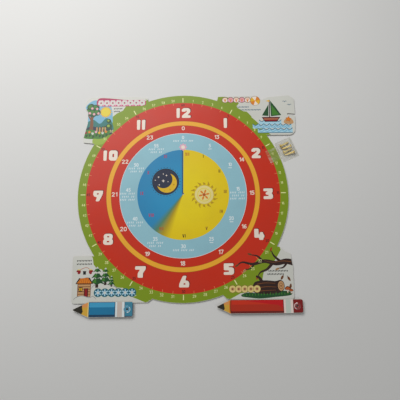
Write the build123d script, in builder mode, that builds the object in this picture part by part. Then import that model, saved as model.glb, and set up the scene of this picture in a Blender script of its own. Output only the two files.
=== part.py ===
"""Card teaching clock, die-cut and printed, with its two hands and its pins still loose.

Pieces: a round dial of laminated card with four corner lobes, a short and a long pencil-shaped
hand that each turn on a flanged eyelet, and a small film sachet that holds brass split pins.

Millimetres, +Z up. The origin is the centre of the dial's hole on the underside of the board.
+Y points at twelve o'clock and +X at three o'clock.
"""

import os
from math import asin, atan, atan2, cos, degrees, hypot, radians, sin, sqrt, tan

from build123d import *

# ---------------------------------------------------------------- card stock
BOARD_THICKNESS = 1.05
SHEET_THICKNESS = 0.15
DIE_CORNER_RADIUS = 3.0  # corners of the cutting die
DIE_POINT_RADIUS = 0.8  # its tighter turns and points

# ---------------------------------------------------------------- dial
RIM_RADIUS = 132.0
CENTRE_HOLE_RADIUS = 1.25

# How far each lobe's straight edges lie outside the square around the rim (negative: inside it)
SPRING_TOP_OVERHANG = -1.6
SPRING_SIDE_OVERHANG = -8.0
SUMMER_TOP_OVERHANG = -1.2
SUMMER_SIDE_OVERHANG = 14.0
WINTER_BOTTOM_OVERHANG = -0.8
WINTER_SIDE_OVERHANG = 1.8
AUTUMN_BOTTOM_OVERHANG = -3.2
AUTUMN_SIDE_OVERHANG = 0.3

SPRING_SHOULDER_RADIUS = 11.2  # round shoulder at the spring lobe's outer corner
SPRING_SHOULDER_BULGE = 4.0  # how far it stands out of the lobe's side
SUMMER_SHOULDER_RADIUS = 7.0  # round shoulder on the summer lobe's top edge
SUMMER_CORNER_RADIUS = 8.0
SUMMER_HEIGHT = 54.6  # from the top edge to the foot
SUMMER_NOTCH_WIDTH = 2.6  # slot cut in from the summer lobe's outer edge
SUMMER_NOTCH_DEPTH = 10.0
WINTER_HEIGHT = 55.5
AUTUMN_HEIGHT = 64.0

# ---------------------------------------------------------------- hands
HOUR_HAND_LENGTH = 71.0
HOUR_HAND_WIDTH = 17.4
HOUR_CONE_LENGTH = 18.0  # lead and sharpened wood
MINUTE_HAND_LENGTH = 101.5
MINUTE_HAND_WIDTH = 15.8
MINUTE_CONE_LENGTH = 15.6
PIVOT_INSET = 7.0  # from the eraser end to the eyelet's axis
ERASER_CORNER_RADIUS = 2.6
LEAD_TIP_WIDTH = 1.2

# Where the loose hands lie: over the lobes' bottom edges, outside their sides
HOUR_HAND_OVERLAP = 2.0
MINUTE_HAND_OVERLAP = 0.3
HOUR_TIP_INSET = 3.6  # the hour hand's point, in from the winter lobe's side
MINUTE_END_OVERHANG = 8.9  # the minute hand's eraser, out from the autumn lobe's side

# ---------------------------------------------------------------- eyelets
EYELET_BORE_RADIUS = 1.25
EYELET_WALL = 0.45
EYELET_FLANGE_RADIUS = 4.1
EYELET_CLINCH_RADIUS = 3.0
FLANGE_THICKNESS = 0.4
CLINCH_THICKNESS = 0.3
FLANGE_BEVEL = 0.2
RIM_BREAK = 0.1
TURNING_CLEARANCE = 0.05  # card to barrel, and card to flange and clinch
LAYER_GAP = 0.2  # between the dial's face and what lies over it
STACK_GAP = 0.3  # between the two hands once both are on the dial's centre

# ---------------------------------------------------------------- split pins
PIN_CAP_RADIUS = 2.5
PIN_CAP_HEIGHT = 1.3
PIN_SHEET = 0.3
PIN_LEG_WIDTH = 2.0
PIN_LEG_LENGTH = 12.0
PIN_LEG_TAPER = 2.6  # length of the narrowed end
PIN_LEG_TIP_WIDTH = 0.9
PIN_LEG_SPREAD = 0.5  # opening between the two legs at their ends
PIN_FOLD_LENGTH = 0.7  # part of the folded strip inside the cap
PIN_PITCH = 4.5
PIN_TWISTS = (-5.0, 3.0, -4.0, 6.0)  # each pin's turn from the sachet's length, in degrees
PIN_SHIFTS = (0.5, -0.4, 0.3, -0.6)  # each pin's slip along it

# ---------------------------------------------------------------- sachet
FILM_THICKNESS = 0.15
FILM_CLEARANCE = 0.1  # between the pins and the film
POUCH_SLOPE = 24.0  # lean of the pouch's sides from upright, in degrees
POUCH_CORNER_RADIUS = 4.5  # at its foot, in plan
POUCH_EDGE_BEVEL = 1.0
SEAL_MARGIN = 1.6  # flat sealed border around the pouch
SEAL_CORNER_RADIUS = 1.0
POUCH_RIM_GAP = 1.5  # from the dial's rim
POUCH_LOBE_GAP = 2.4  # from the summer lobe's foot
FLAP_LENGTH = 15.0  # reach of the sealing flap over the dial
FLAP_WIDTH = 17.0
FLAP_LAP = 1.0  # strip of the flap that is sealed on the pouch's border

# ---------------------------------------------------------------- sizes that follow
DIAL_TOP = BOARD_THICKNESS + SHEET_THICKNESS
EYELET_LEVEL = DIAL_TOP + LAYER_GAP
HAND_LEVEL = EYELET_LEVEL + CLINCH_THICKNESS + TURNING_CLEARANCE
GRIP_LENGTH = BOARD_THICKNESS + SHEET_THICKNESS + 2 * TURNING_CLEARANCE
EYELET_HEIGHT = CLINCH_THICKNESS + GRIP_LENGTH + FLANGE_THICKNESS
BARREL_RADIUS = EYELET_BORE_RADIUS + EYELET_WALL
HAND_HOLE_RADIUS = BARREL_RADIUS + TURNING_CLEARANCE

SPRING_TOP = RIM_RADIUS + SPRING_TOP_OVERHANG
SPRING_SIDE = -(RIM_RADIUS + SPRING_SIDE_OVERHANG)
SUMMER_TOP = RIM_RADIUS + SUMMER_TOP_OVERHANG
SUMMER_SIDE = RIM_RADIUS + SUMMER_SIDE_OVERHANG
SUMMER_FOOT = SUMMER_TOP - SUMMER_HEIGHT
WINTER_BOTTOM = -(RIM_RADIUS + WINTER_BOTTOM_OVERHANG)
WINTER_SIDE = -(RIM_RADIUS + WINTER_SIDE_OVERHANG)
AUTUMN_BOTTOM = -(RIM_RADIUS + AUTUMN_BOTTOM_OVERHANG)
AUTUMN_SIDE = RIM_RADIUS + AUTUMN_SIDE_OVERHANG
LOBE_ROOT = 0.6 * RIM_RADIUS  # the lobes' outlines close at this depth under the round dial

HOUR_PIVOT = (
    WINTER_SIDE + HOUR_TIP_INSET + HOUR_HAND_LENGTH - PIVOT_INSET,
    WINTER_BOTTOM + HOUR_HAND_OVERLAP - HOUR_HAND_WIDTH / 2,
)
MINUTE_PIVOT = (
    AUTUMN_SIDE + MINUTE_END_OVERHANG - PIVOT_INSET,
    AUTUMN_BOTTOM + MINUTE_HAND_OVERLAP - MINUTE_HAND_WIDTH / 2,
)
MINUTE_RISE = EYELET_HEIGHT + STACK_GAP

PIN_LENGTH = PIN_CAP_HEIGHT + PIN_LEG_LENGTH
PIN_ROW_WIDTH = (len(PIN_TWISTS) - 1) * PIN_PITCH + 2 * PIN_CAP_RADIUS
PIN_END_THICKNESS = PIN_LEG_SPREAD + 2 * PIN_SHEET
PIN_TILT = degrees(atan((PIN_CAP_RADIUS - PIN_END_THICKNESS / 2) / PIN_LEG_LENGTH))
POUCH_HEIGHT = 2 * PIN_CAP_RADIUS + 3 * FILM_CLEARANCE + FILM_THICKNESS
POUCH_RUN = POUCH_HEIGHT * tan(radians(POUCH_SLOPE)) + max(map(abs, PIN_SHIFTS))
POUCH_LENGTH = PIN_LENGTH + 2 * POUCH_RUN
POUCH_WIDTH = PIN_ROW_WIDTH + 2 * POUCH_RUN
SACHET_LENGTH = POUCH_LENGTH + 2 * SEAL_MARGIN
SACHET_WIDTH = POUCH_WIDTH + 2 * SEAL_MARGIN

# The sachet stands square to the rim, as far round as the summer lobe's foot lets its corner go
sachet_inner = RIM_RADIUS + POUCH_RIM_GAP
sachet_outer = sachet_inner + SACHET_LENGTH
sachet_corner = hypot(sachet_outer, SACHET_WIDTH / 2)
sachet_angle = asin((SUMMER_FOOT - POUCH_LOBE_GAP) / sachet_corner) - atan2(SACHET_WIDTH / 2, sachet_outer)
sachet_middle = (sachet_inner + sachet_outer) / 2
sachet_plane = Plane(
    origin=(sachet_middle * cos(sachet_angle), sachet_middle * sin(sachet_angle), 0),
    x_dir=(cos(sachet_angle), sin(sachet_angle), 0),
    z_dir=(0, 0, 1),
)


def rim_point(x):
    """The point of the rim's upper half at x, as its height above the centre."""
    return sqrt(RIM_RADIUS**2 - x**2)


# ---------------------------------------------------------------- dial
with BuildSketch() as dial_outline:
    Circle(RIM_RADIUS)

    # Spring, upper left: a long ribbon edge, a round shoulder and a side that flares at its foot
    with BuildLine():
        FilletPolyline(
            (-44.0, rim_point(44.0) - 6.0),
            (-46.5, SPRING_TOP - 1.5),
            (-62.0, SPRING_TOP),
            (SPRING_SIDE + SPRING_SHOULDER_RADIUS, SPRING_TOP),
            (SPRING_SIDE, SPRING_TOP - SPRING_SHOULDER_RADIUS),
            (SPRING_SIDE, SPRING_TOP - 36.0),
            (SPRING_SIDE - 5.0, SPRING_TOP - 58.0),
            (SPRING_SIDE - 4.0, SPRING_TOP - 62.0),
            (SPRING_SIDE + 8.0, SPRING_TOP - 63.4),
            (-LOBE_ROOT, SPRING_TOP - 75.0),
            (-LOBE_ROOT, LOBE_ROOT),
            radius=DIE_POINT_RADIUS,
            close=True,
        )
    make_face()
    with Locations(
        (
            SPRING_SIDE - SPRING_SHOULDER_BULGE + SPRING_SHOULDER_RADIUS,
            SPRING_TOP - SPRING_SHOULDER_RADIUS,
        )
    ):
        Circle(SPRING_SHOULDER_RADIUS)

    # Summer, upper right: a ribbon edge with a small round shoulder, then a tall block
    with BuildLine():
        FilletPolyline(
            (44.0, rim_point(44.0) - 6.0),
            (46.0, SUMMER_TOP - 1.0),
            (SUMMER_SIDE - 51.5, SUMMER_TOP - 0.4),
            (SUMMER_SIDE - 43.0, SUMMER_TOP - 6.4),
            (SUMMER_SIDE - 34.0, SUMMER_TOP - 2.4),
            (SUMMER_SIDE - 7.0, SUMMER_TOP),
            (SUMMER_SIDE, SUMMER_TOP - 5.0),
            (SUMMER_SIDE, SUMMER_FOOT + 20.0),
            (SUMMER_SIDE - 1.2, SUMMER_FOOT),
            (rim_point(SUMMER_FOOT) - 3.0, SUMMER_FOOT),
            (LOBE_ROOT, LOBE_ROOT - 20.0),
            (LOBE_ROOT - 20.0, LOBE_ROOT),
            radius=(0.8, 0.8, 2.0, 2.0, 3.0, 3.0, 3.0, 6.0, SUMMER_CORNER_RADIUS, 0, 0, 0),
            close=True,
        )
    make_face()
    with Locations((SUMMER_SIDE - 51.5, SUMMER_TOP - SUMMER_SHOULDER_RADIUS)):
        Circle(SUMMER_SHOULDER_RADIUS)
    with Locations((SUMMER_SIDE, SUMMER_FOOT + SUMMER_HEIGHT / 2)):
        SlotOverall(2 * SUMMER_NOTCH_DEPTH, SUMMER_NOTCH_WIDTH, rotation=-7, mode=Mode.SUBTRACT)

    # Winter, lower left: a square block whose bottom edge runs out in a wedge along the rim
    with BuildLine():
        FilletPolyline(
            (-LOBE_ROOT, WINTER_BOTTOM + WINTER_HEIGHT),
            (WINTER_SIDE, WINTER_BOTTOM + WINTER_HEIGHT),
            (WINTER_SIDE + 1.0, WINTER_BOTTOM),
            (-42.5, WINTER_BOTTOM + 0.5),
            (-36.0, -rim_point(36.0) + 1.0),
            (-30.0, -LOBE_ROOT),
            radius=(0, DIE_CORNER_RADIUS, DIE_CORNER_RADIUS, DIE_POINT_RADIUS, DIE_POINT_RADIUS, 0),
            close=True,
        )
    make_face()

    # Autumn, lower right: a side that steps out under the branches, and a wedge along the rim
    with BuildLine():
        FilletPolyline(
            (LOBE_ROOT, AUTUMN_BOTTOM + AUTUMN_HEIGHT),
            (AUTUMN_SIDE - 15.0, AUTUMN_BOTTOM + AUTUMN_HEIGHT - 2.0),
            (AUTUMN_SIDE - 9.0, AUTUMN_BOTTOM + AUTUMN_HEIGHT - 8.0),
            (AUTUMN_SIDE - 2.4, AUTUMN_BOTTOM + AUTUMN_HEIGHT - 10.4),
            (AUTUMN_SIDE, AUTUMN_BOTTOM + AUTUMN_HEIGHT - 26.0),
            (AUTUMN_SIDE - 0.8, AUTUMN_BOTTOM),
            (52.0, AUTUMN_BOTTOM + 0.7),
            (46.5, -rim_point(46.5) + 1.0),
            (30.0, -LOBE_ROOT),
            radius=(0, 1.5, 1.5, 2.0, 2.0, DIE_CORNER_RADIUS, DIE_POINT_RADIUS, DIE_POINT_RADIUS, 0),
            close=True,
        )
    make_face()
    Circle(CENTRE_HOLE_RADIUS, mode=Mode.SUBTRACT)

with BuildPart() as dial_board:
    add(dial_outline.sketch)
    extrude(amount=BOARD_THICKNESS)

with BuildPart() as dial_face_sheet:
    with BuildSketch(Plane.XY.offset(BOARD_THICKNESS)):
        add(dial_outline.sketch)
    extrude(amount=SHEET_THICKNESS)


# ---------------------------------------------------------------- hands
def pencil_outline(length, width, cone_length):
    """A sharpened pencil seen from its side, its point towards -X and its pivot hole at the origin."""
    point = PIVOT_INSET - length
    with BuildLine() as outline:
        FilletPolyline(
            (PIVOT_INSET, width / 2),
            (point + cone_length, width / 2),
            (point, LEAD_TIP_WIDTH / 2),
            (point, -LEAD_TIP_WIDTH / 2),
            (point + cone_length, -width / 2),
            (PIVOT_INSET, -width / 2),
            radius=(
                ERASER_CORNER_RADIUS,
                DIE_POINT_RADIUS,
                LEAD_TIP_WIDTH / 3,
                LEAD_TIP_WIDTH / 3,
                DIE_POINT_RADIUS,
                ERASER_CORNER_RADIUS,
            ),
            close=True,
        )
    make_face(outline.edges())
    Circle(HAND_HOLE_RADIUS, mode=Mode.SUBTRACT)


hour_plane = Plane((*HOUR_PIVOT, HAND_LEVEL))
minute_plane = Plane((*MINUTE_PIVOT, HAND_LEVEL))

with BuildPart() as hour_hand_board:
    with BuildSketch(hour_plane):
        pencil_outline(HOUR_HAND_LENGTH, HOUR_HAND_WIDTH, HOUR_CONE_LENGTH)
    extrude(amount=BOARD_THICKNESS)

with BuildPart() as hour_hand_face_sheet:
    with BuildSketch(hour_plane.offset(BOARD_THICKNESS)):
        pencil_outline(HOUR_HAND_LENGTH, HOUR_HAND_WIDTH, HOUR_CONE_LENGTH)
    extrude(amount=SHEET_THICKNESS)

with BuildPart() as minute_hand_board:
    with BuildSketch(minute_plane):
        pencil_outline(MINUTE_HAND_LENGTH, MINUTE_HAND_WIDTH, MINUTE_CONE_LENGTH)
    extrude(amount=BOARD_THICKNESS)

with BuildPart() as minute_hand_face_sheet:
    with BuildSketch(minute_plane.offset(BOARD_THICKNESS)):
        pencil_outline(MINUTE_HAND_LENGTH, MINUTE_HAND_WIDTH, MINUTE_CONE_LENGTH)
    extrude(amount=SHEET_THICKNESS)


# ---------------------------------------------------------------- eyelets
def eyelet_section():
    """Half of an eyelet's section: clinched foot, thin barrel and wide flange, with the bore open."""
    with BuildLine() as section:
        Polyline(
            (EYELET_BORE_RADIUS, 0),
            (EYELET_CLINCH_RADIUS, 0),
            (EYELET_CLINCH_RADIUS, CLINCH_THICKNESS),
            (BARREL_RADIUS, CLINCH_THICKNESS),
            (BARREL_RADIUS, CLINCH_THICKNESS + GRIP_LENGTH),
            (EYELET_FLANGE_RADIUS, CLINCH_THICKNESS + GRIP_LENGTH),
            (EYELET_FLANGE_RADIUS, EYELET_HEIGHT),
            (EYELET_BORE_RADIUS, EYELET_HEIGHT),
            close=True,
        )
    make_face(section.edges())


def upper_flange_rim():
    """The circle around the top of the flange."""
    return edges().filter_by(GeomType.CIRCLE).group_by(Axis.Z)[-1].sort_by(SortBy.RADIUS)[-1:]


def bevel_rims():
    """Bevels the flange's upper rim and breaks the other rims and the mouths of the bore."""
    rims = edges().filter_by(GeomType.CIRCLE).filter_by(lambda e: abs(e.radius - BARREL_RADIUS) > TURNING_CLEARANCE)
    chamfer(rims - upper_flange_rim(), RIM_BREAK)
    chamfer(upper_flange_rim(), FLANGE_BEVEL)


with BuildPart() as hour_hand_eyelet:
    with BuildSketch(Plane((*HOUR_PIVOT, EYELET_LEVEL), x_dir=(1, 0, 0), z_dir=(0, -1, 0))):
        eyelet_section()
    revolve(axis=Axis((*HOUR_PIVOT, EYELET_LEVEL), (0, 0, 1)))
    bevel_rims()

with BuildPart() as minute_hand_eyelet:
    with BuildSketch(Plane((*MINUTE_PIVOT, EYELET_LEVEL), x_dir=(1, 0, 0), z_dir=(0, -1, 0))):
        eyelet_section()
    revolve(axis=Axis((*MINUTE_PIVOT, EYELET_LEVEL), (0, 0, 1)))
    bevel_rims()


# ---------------------------------------------------------------- split pins
# One pin lies along +X from its cap's mouth at the origin. Its cap is pressed to a hollow dome of
# tapering steps with a turned-in lip, and its two legs are one folded strip whose fold sits in it.
dome_radius = (PIN_CAP_RADIUS**2 + PIN_CAP_HEIGHT**2) / (2 * PIN_CAP_HEIGHT)
dome_centre = dome_radius - PIN_CAP_HEIGHT
dome_inside = dome_radius - PIN_SHEET
lip_radius = hypot(PIN_LEG_WIDTH / 2, PIN_END_THICKNESS / 2) + TURNING_CLEARANCE
lip_inside = sqrt(dome_inside**2 - (dome_centre + PIN_SHEET) ** 2)
dome_half_angle = atan2(PIN_CAP_RADIUS, dome_centre)
inside_half_angle = atan2(lip_inside, dome_centre + PIN_SHEET)


def dome_point(radius, angle):
    """A point of the dome's curve of that radius, at that angle in radians from the pin's axis."""
    return dome_centre - radius * cos(angle), radius * sin(angle)


with BuildPart() as pin_cap:
    with BuildSketch():
        with BuildLine():
            Polyline(
                *[dome_point(dome_radius, dome_half_angle * step / 4) for step in range(5)],
                (0, lip_radius),
                (-PIN_SHEET, lip_radius),
                *[dome_point(dome_inside, inside_half_angle * step / 2) for step in (2, 1, 0)],
                close=True,
            )
        make_face()
    revolve(axis=Axis.X)

with BuildPart() as pin_legs:
    with BuildSketch(Plane.XZ):
        with BuildLine():
            Polyline(
                (PIN_LEG_LENGTH, PIN_END_THICKNESS / 2),
                (0, PIN_SHEET + FILM_CLEARANCE / 2),
                (-PIN_FOLD_LENGTH, PIN_SHEET + FILM_CLEARANCE / 2),
                (-PIN_FOLD_LENGTH, -PIN_SHEET - FILM_CLEARANCE / 2),
                (0, -PIN_SHEET - FILM_CLEARANCE / 2),
                (PIN_LEG_LENGTH, -PIN_END_THICKNESS / 2),
                (PIN_LEG_LENGTH, -PIN_LEG_SPREAD / 2),
                (0, -FILM_CLEARANCE / 2),
                (PIN_SHEET - PIN_FOLD_LENGTH, -FILM_CLEARANCE / 2),
                (PIN_SHEET - PIN_FOLD_LENGTH, FILM_CLEARANCE / 2),
                (0, FILM_CLEARANCE / 2),
                (PIN_LEG_LENGTH, PIN_LEG_SPREAD / 2),
                close=True,
            )
        make_face()
    extrude(amount=PIN_LEG_WIDTH / 2, both=True)
    with BuildSketch():
        with BuildLine():
            Polyline(
                (-PIN_CAP_HEIGHT, PIN_LEG_WIDTH / 2),
                (PIN_LEG_LENGTH - PIN_LEG_TAPER, PIN_LEG_WIDTH / 2),
                (PIN_LEG_LENGTH, PIN_LEG_TIP_WIDTH / 2),
                (PIN_LEG_LENGTH, -PIN_LEG_TIP_WIDTH / 2),
                (PIN_LEG_LENGTH - PIN_LEG_TAPER, -PIN_LEG_WIDTH / 2),
                (-PIN_CAP_HEIGHT, -PIN_LEG_WIDTH / 2),
                close=True,
            )
        make_face()
    extrude(amount=PIN_CAP_RADIUS, both=True, mode=Mode.INTERSECT)

# The pins lie side by side on the back film, head to tail, each tipped down from cap to leg ends
cap_level = FILM_THICKNESS + FILM_CLEARANCE + PIN_CAP_RADIUS
pin_places = [
    Location(
        (
            (PIN_LEG_LENGTH - PIN_CAP_HEIGHT) / 2 * (-1) ** n + shift,
            (n + 0.5) * PIN_PITCH - len(PIN_TWISTS) * PIN_PITCH / 2,
            cap_level,
        ),
        (0, 0, twist + 180 * (n + 1)),
    )
    * Location((0, 0, 0), (0, PIN_TILT, 0))
    for n, (twist, shift) in enumerate(zip(PIN_TWISTS, PIN_SHIFTS))
]

with BuildPart(sachet_plane) as split_pin_caps:
    with Locations(*pin_places):
        add(pin_cap.part)

with BuildPart(sachet_plane) as split_pin_legs:
    with Locations(*pin_places):
        add(pin_legs.part)


# ---------------------------------------------------------------- sachet
with BuildPart() as sachet_back_film:
    with BuildSketch(sachet_plane):
        RectangleRounded(SACHET_LENGTH, SACHET_WIDTH, SEAL_CORNER_RADIUS)
    extrude(amount=FILM_THICKNESS)

with BuildPart() as sachet_front_film:
    with BuildSketch(sachet_plane.offset(FILM_THICKNESS)):
        RectangleRounded(POUCH_LENGTH, POUCH_WIDTH, POUCH_CORNER_RADIUS)
    extrude(amount=POUCH_HEIGHT, taper=POUCH_SLOPE)
    chamfer(faces().sort_by(Axis.Z)[-1].edges(), POUCH_EDGE_BEVEL)
    offset(amount=-FILM_THICKNESS, openings=faces().sort_by(Axis.Z)[0])
    with BuildSketch(sachet_plane.offset(FILM_THICKNESS)):
        RectangleRounded(SACHET_LENGTH, SACHET_WIDTH, SEAL_CORNER_RADIUS)
        RectangleRounded(
            POUCH_LENGTH - FILM_THICKNESS,
            POUCH_WIDTH - FILM_THICKNESS,
            POUCH_CORNER_RADIUS - FILM_THICKNESS / 2,
            mode=Mode.SUBTRACT,
        )
    extrude(amount=FILM_THICKNESS)

# The flap is sealed on the border next to the dial, climbs over the board's edge and lies on its face
flap_low = 2 * FILM_THICKNESS
flap_high = DIAL_TOP + LAYER_GAP
flap_start = -SACHET_LENGTH / 2 + FLAP_LAP
flap_crest = -SACHET_LENGTH / 2 - POUCH_RIM_GAP * 0.6
flap_end = flap_crest - FLAP_LENGTH
with BuildPart() as sachet_flap:
    with BuildSketch(Plane(sachet_plane.origin, x_dir=sachet_plane.x_dir, z_dir=-sachet_plane.y_dir)):
        with BuildLine():
            Polyline(
                (flap_start, flap_low),
                (-SACHET_LENGTH / 2, flap_low),
                (flap_crest, flap_high),
                (flap_end, flap_high),
                (flap_end, flap_high + FILM_THICKNESS),
                (flap_crest, flap_high + FILM_THICKNESS),
                (-SACHET_LENGTH / 2, flap_low + FILM_THICKNESS),
                (flap_start, flap_low + FILM_THICKNESS),
                close=True,
            )
        make_face()
    extrude(amount=FLAP_WIDTH / 2, both=True)


# ---------------------------------------------------------------- output
pieces = {
    "dial_board": dial_board,
    "dial_face_sheet": dial_face_sheet,
    "hour_hand_board": hour_hand_board,
    "hour_hand_face_sheet": hour_hand_face_sheet,
    "hour_hand_eyelet": hour_hand_eyelet,
    "minute_hand_board": minute_hand_board,
    "minute_hand_face_sheet": minute_hand_face_sheet,
    "minute_hand_eyelet": minute_hand_eyelet,
    "split_pin_caps": split_pin_caps,
    "split_pin_legs": split_pin_legs,
    "sachet_back_film": sachet_back_film,
    "sachet_front_film": sachet_front_film,
    "sachet_flap": sachet_flap,
}

os.makedirs("parts", exist_ok=True)
for name, piece in pieces.items():
    piece.part.label = name
    export_step(piece.part, f"parts/{name}.step")

print("hour hand pivot", HOUR_PIVOT, "minute hand pivot", MINUTE_PIVOT)
print("minute hand rise", MINUTE_RISE, "eyelet level", EYELET_LEVEL)
print("sachet centre", tuple(sachet_plane.origin), "angle", degrees(sachet_angle), "height", POUCH_HEIGHT)
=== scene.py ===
"""A die-cut card teaching clock with loose pencil hands and a sachet of split pins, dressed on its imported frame.

Drawings of the prints are in millimetres in the dial's plane, with +Y towards twelve o'clock and +X towards
three. Meshes and everything after them are in metres.
"""

import logging
import math
from collections.abc import Callable, Mapping, Sequence
from dataclasses import dataclass, field
from enum import Enum
from typing import Any

import bpy
from mathutils import Matrix, Vector, noise
from mathutils.geometry import delaunay_2d_cdt


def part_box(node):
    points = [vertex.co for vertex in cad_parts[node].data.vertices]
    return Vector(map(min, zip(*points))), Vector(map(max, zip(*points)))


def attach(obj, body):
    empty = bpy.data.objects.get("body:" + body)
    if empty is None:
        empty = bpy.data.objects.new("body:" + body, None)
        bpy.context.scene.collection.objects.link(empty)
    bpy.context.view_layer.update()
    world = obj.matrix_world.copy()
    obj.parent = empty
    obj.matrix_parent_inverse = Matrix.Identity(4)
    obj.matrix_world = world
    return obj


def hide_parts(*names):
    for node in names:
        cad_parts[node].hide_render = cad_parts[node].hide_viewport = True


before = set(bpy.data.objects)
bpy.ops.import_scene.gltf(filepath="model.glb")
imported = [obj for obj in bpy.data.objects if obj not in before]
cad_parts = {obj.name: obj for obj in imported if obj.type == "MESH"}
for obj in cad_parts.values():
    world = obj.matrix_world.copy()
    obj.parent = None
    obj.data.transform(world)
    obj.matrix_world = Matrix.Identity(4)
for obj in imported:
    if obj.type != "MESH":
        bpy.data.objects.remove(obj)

MM = 0.001
log = logging.getLogger("teaching_clock")

Point = tuple[float, float]
Outline = list[Point]
Triple = tuple[float, float, float]
Colour = tuple[float, float, float, float]


# ---------------------------------------------------------------- colours
def linear(red: float, green: float, blue: float) -> Colour:
    """Turns an eight-bit sRGB colour into linear light.

    Args:
        red: Red, 0 to 255.
        green: Green, 0 to 255.
        blue: Blue, 0 to 255.

    Returns:
        The colour in linear light, with an alpha of 1.
    """
    parts = [(c / 255) / 12.92 if c <= 10 else ((c / 255 + 0.055) / 1.055) ** 2.4 for c in (red, green, blue)]
    return parts[0], parts[1], parts[2], 1.0


class Ink(Enum):
    """The print's colours, as eight-bit sRGB."""

    BARE_EDGE = (214, 210, 200)
    WHITE = (210, 210, 201)
    RED = (200, 46, 20)
    RED_SHADE = (112, 26, 14)
    GREEN = (126, 150, 26)
    YELLOW_RING = (240, 173, 48)
    RING_SHADE = (158, 92, 20)
    BLUE_RING = (146, 192, 204)
    DUSK = (0, 0, 0)
    NIGHT_EDGE = (16, 84, 128)
    CREAM = (240, 226, 210)
    TICK = (236, 236, 168)
    SCALE = (232, 150, 96)
    PALE_MARK = (222, 234, 236)
    DARK_MARK = (76, 20, 12)
    MAGENTA = (172, 40, 84)
    PINK = (232, 168, 190)
    ORANGE = (222, 128, 30)
    AMBER = (228, 176, 32)
    LEMON = (228, 206, 60)
    STRAW = (224, 204, 128)
    SUN_RAY = (186, 150, 20)
    SUN_DISC = (232, 216, 140)
    MOON = (226, 184, 36)
    NIGHT_SKY = (34, 40, 62)
    NAVY = (26, 84, 110)
    SKY = (120, 178, 206)
    ICE = (168, 210, 226)
    TEAL = (40, 116, 110)
    LEAF = (64, 124, 40)
    FOREST = (28, 74, 36)
    LIME = (150, 176, 60)
    BARK = (44, 22, 16)
    BROWN = (124, 74, 36)
    TAN = (198, 152, 104)
    RUST = (178, 84, 32)
    CRIMSON = (140, 22, 26)
    BLACK = (22, 22, 20)
    GREY = (150, 150, 148)
    BLUE_LIGHT = (66, 158, 198)
    BLUE_MID = (30, 118, 160)
    BLUE_DARK = (26, 62, 90)
    BLUE_RUBBER = (64, 134, 158)
    RED_LIGHT = (204, 50, 24)
    RED_RICH = (196, 20, 26)
    RED_MID = (180, 46, 22)
    RED_DARK = (104, 24, 14)
    RED_RUBBER = (128, 14, 14)
    WOOD = (214, 168, 62)
    WOOD_LIGHT = (222, 150, 84)
    WOOD_EDGE = (240, 222, 150)
    LEAD = (38, 34, 22)
    BLUE_TIN = (204, 190, 180)
    BLUE_TIN_EDGE = (222, 232, 232)
    RED_TIN = (198, 208, 196)
    RED_TIN_EDGE = (236, 216, 208)


# ---------------------------------------------------------------- shader nodes
class Value:
    """A number that varies over a surface. Arithmetic on it adds Math nodes."""

    def __init__(self, graph: "Graph", socket: bpy.types.NodeSocket) -> None:
        """Keeps the socket and the graph it belongs to."""
        self.graph = graph
        self.socket = socket

    def _maths(self, operation: str, left: "Value | float", right: "Value | float") -> "Value":
        """Adds one Math node and gives its result."""
        return self.graph.value("ShaderNodeMath", {"operation": operation}, {0: left, 1: right})

    def __add__(self, other: "Value | float") -> "Value":
        """The sum."""
        return self._maths("ADD", self, other)

    def __radd__(self, other: float) -> "Value":
        """The sum with a number on the left."""
        return self._maths("ADD", other, self)

    def __sub__(self, other: "Value | float") -> "Value":
        """The difference."""
        return self._maths("SUBTRACT", self, other)

    def __rsub__(self, other: float) -> "Value":
        """The difference from a number on the left."""
        return self._maths("SUBTRACT", other, self)

    def __mul__(self, other: "Value | float") -> "Value":
        """The product."""
        return self._maths("MULTIPLY", self, other)

    def __rmul__(self, other: float) -> "Value":
        """The product with a number on the left."""
        return self._maths("MULTIPLY", other, self)

    def between(self, low: float, high: float) -> "Value":
        """The value, spread so that low becomes 0 and high becomes 1, without passing either."""
        settings = {"interpolation_type": "SMOOTHSTEP"}
        return self.graph.value("ShaderNodeMapRange", settings, {"Value": self, "From Min": low, "From Max": high})


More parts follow.
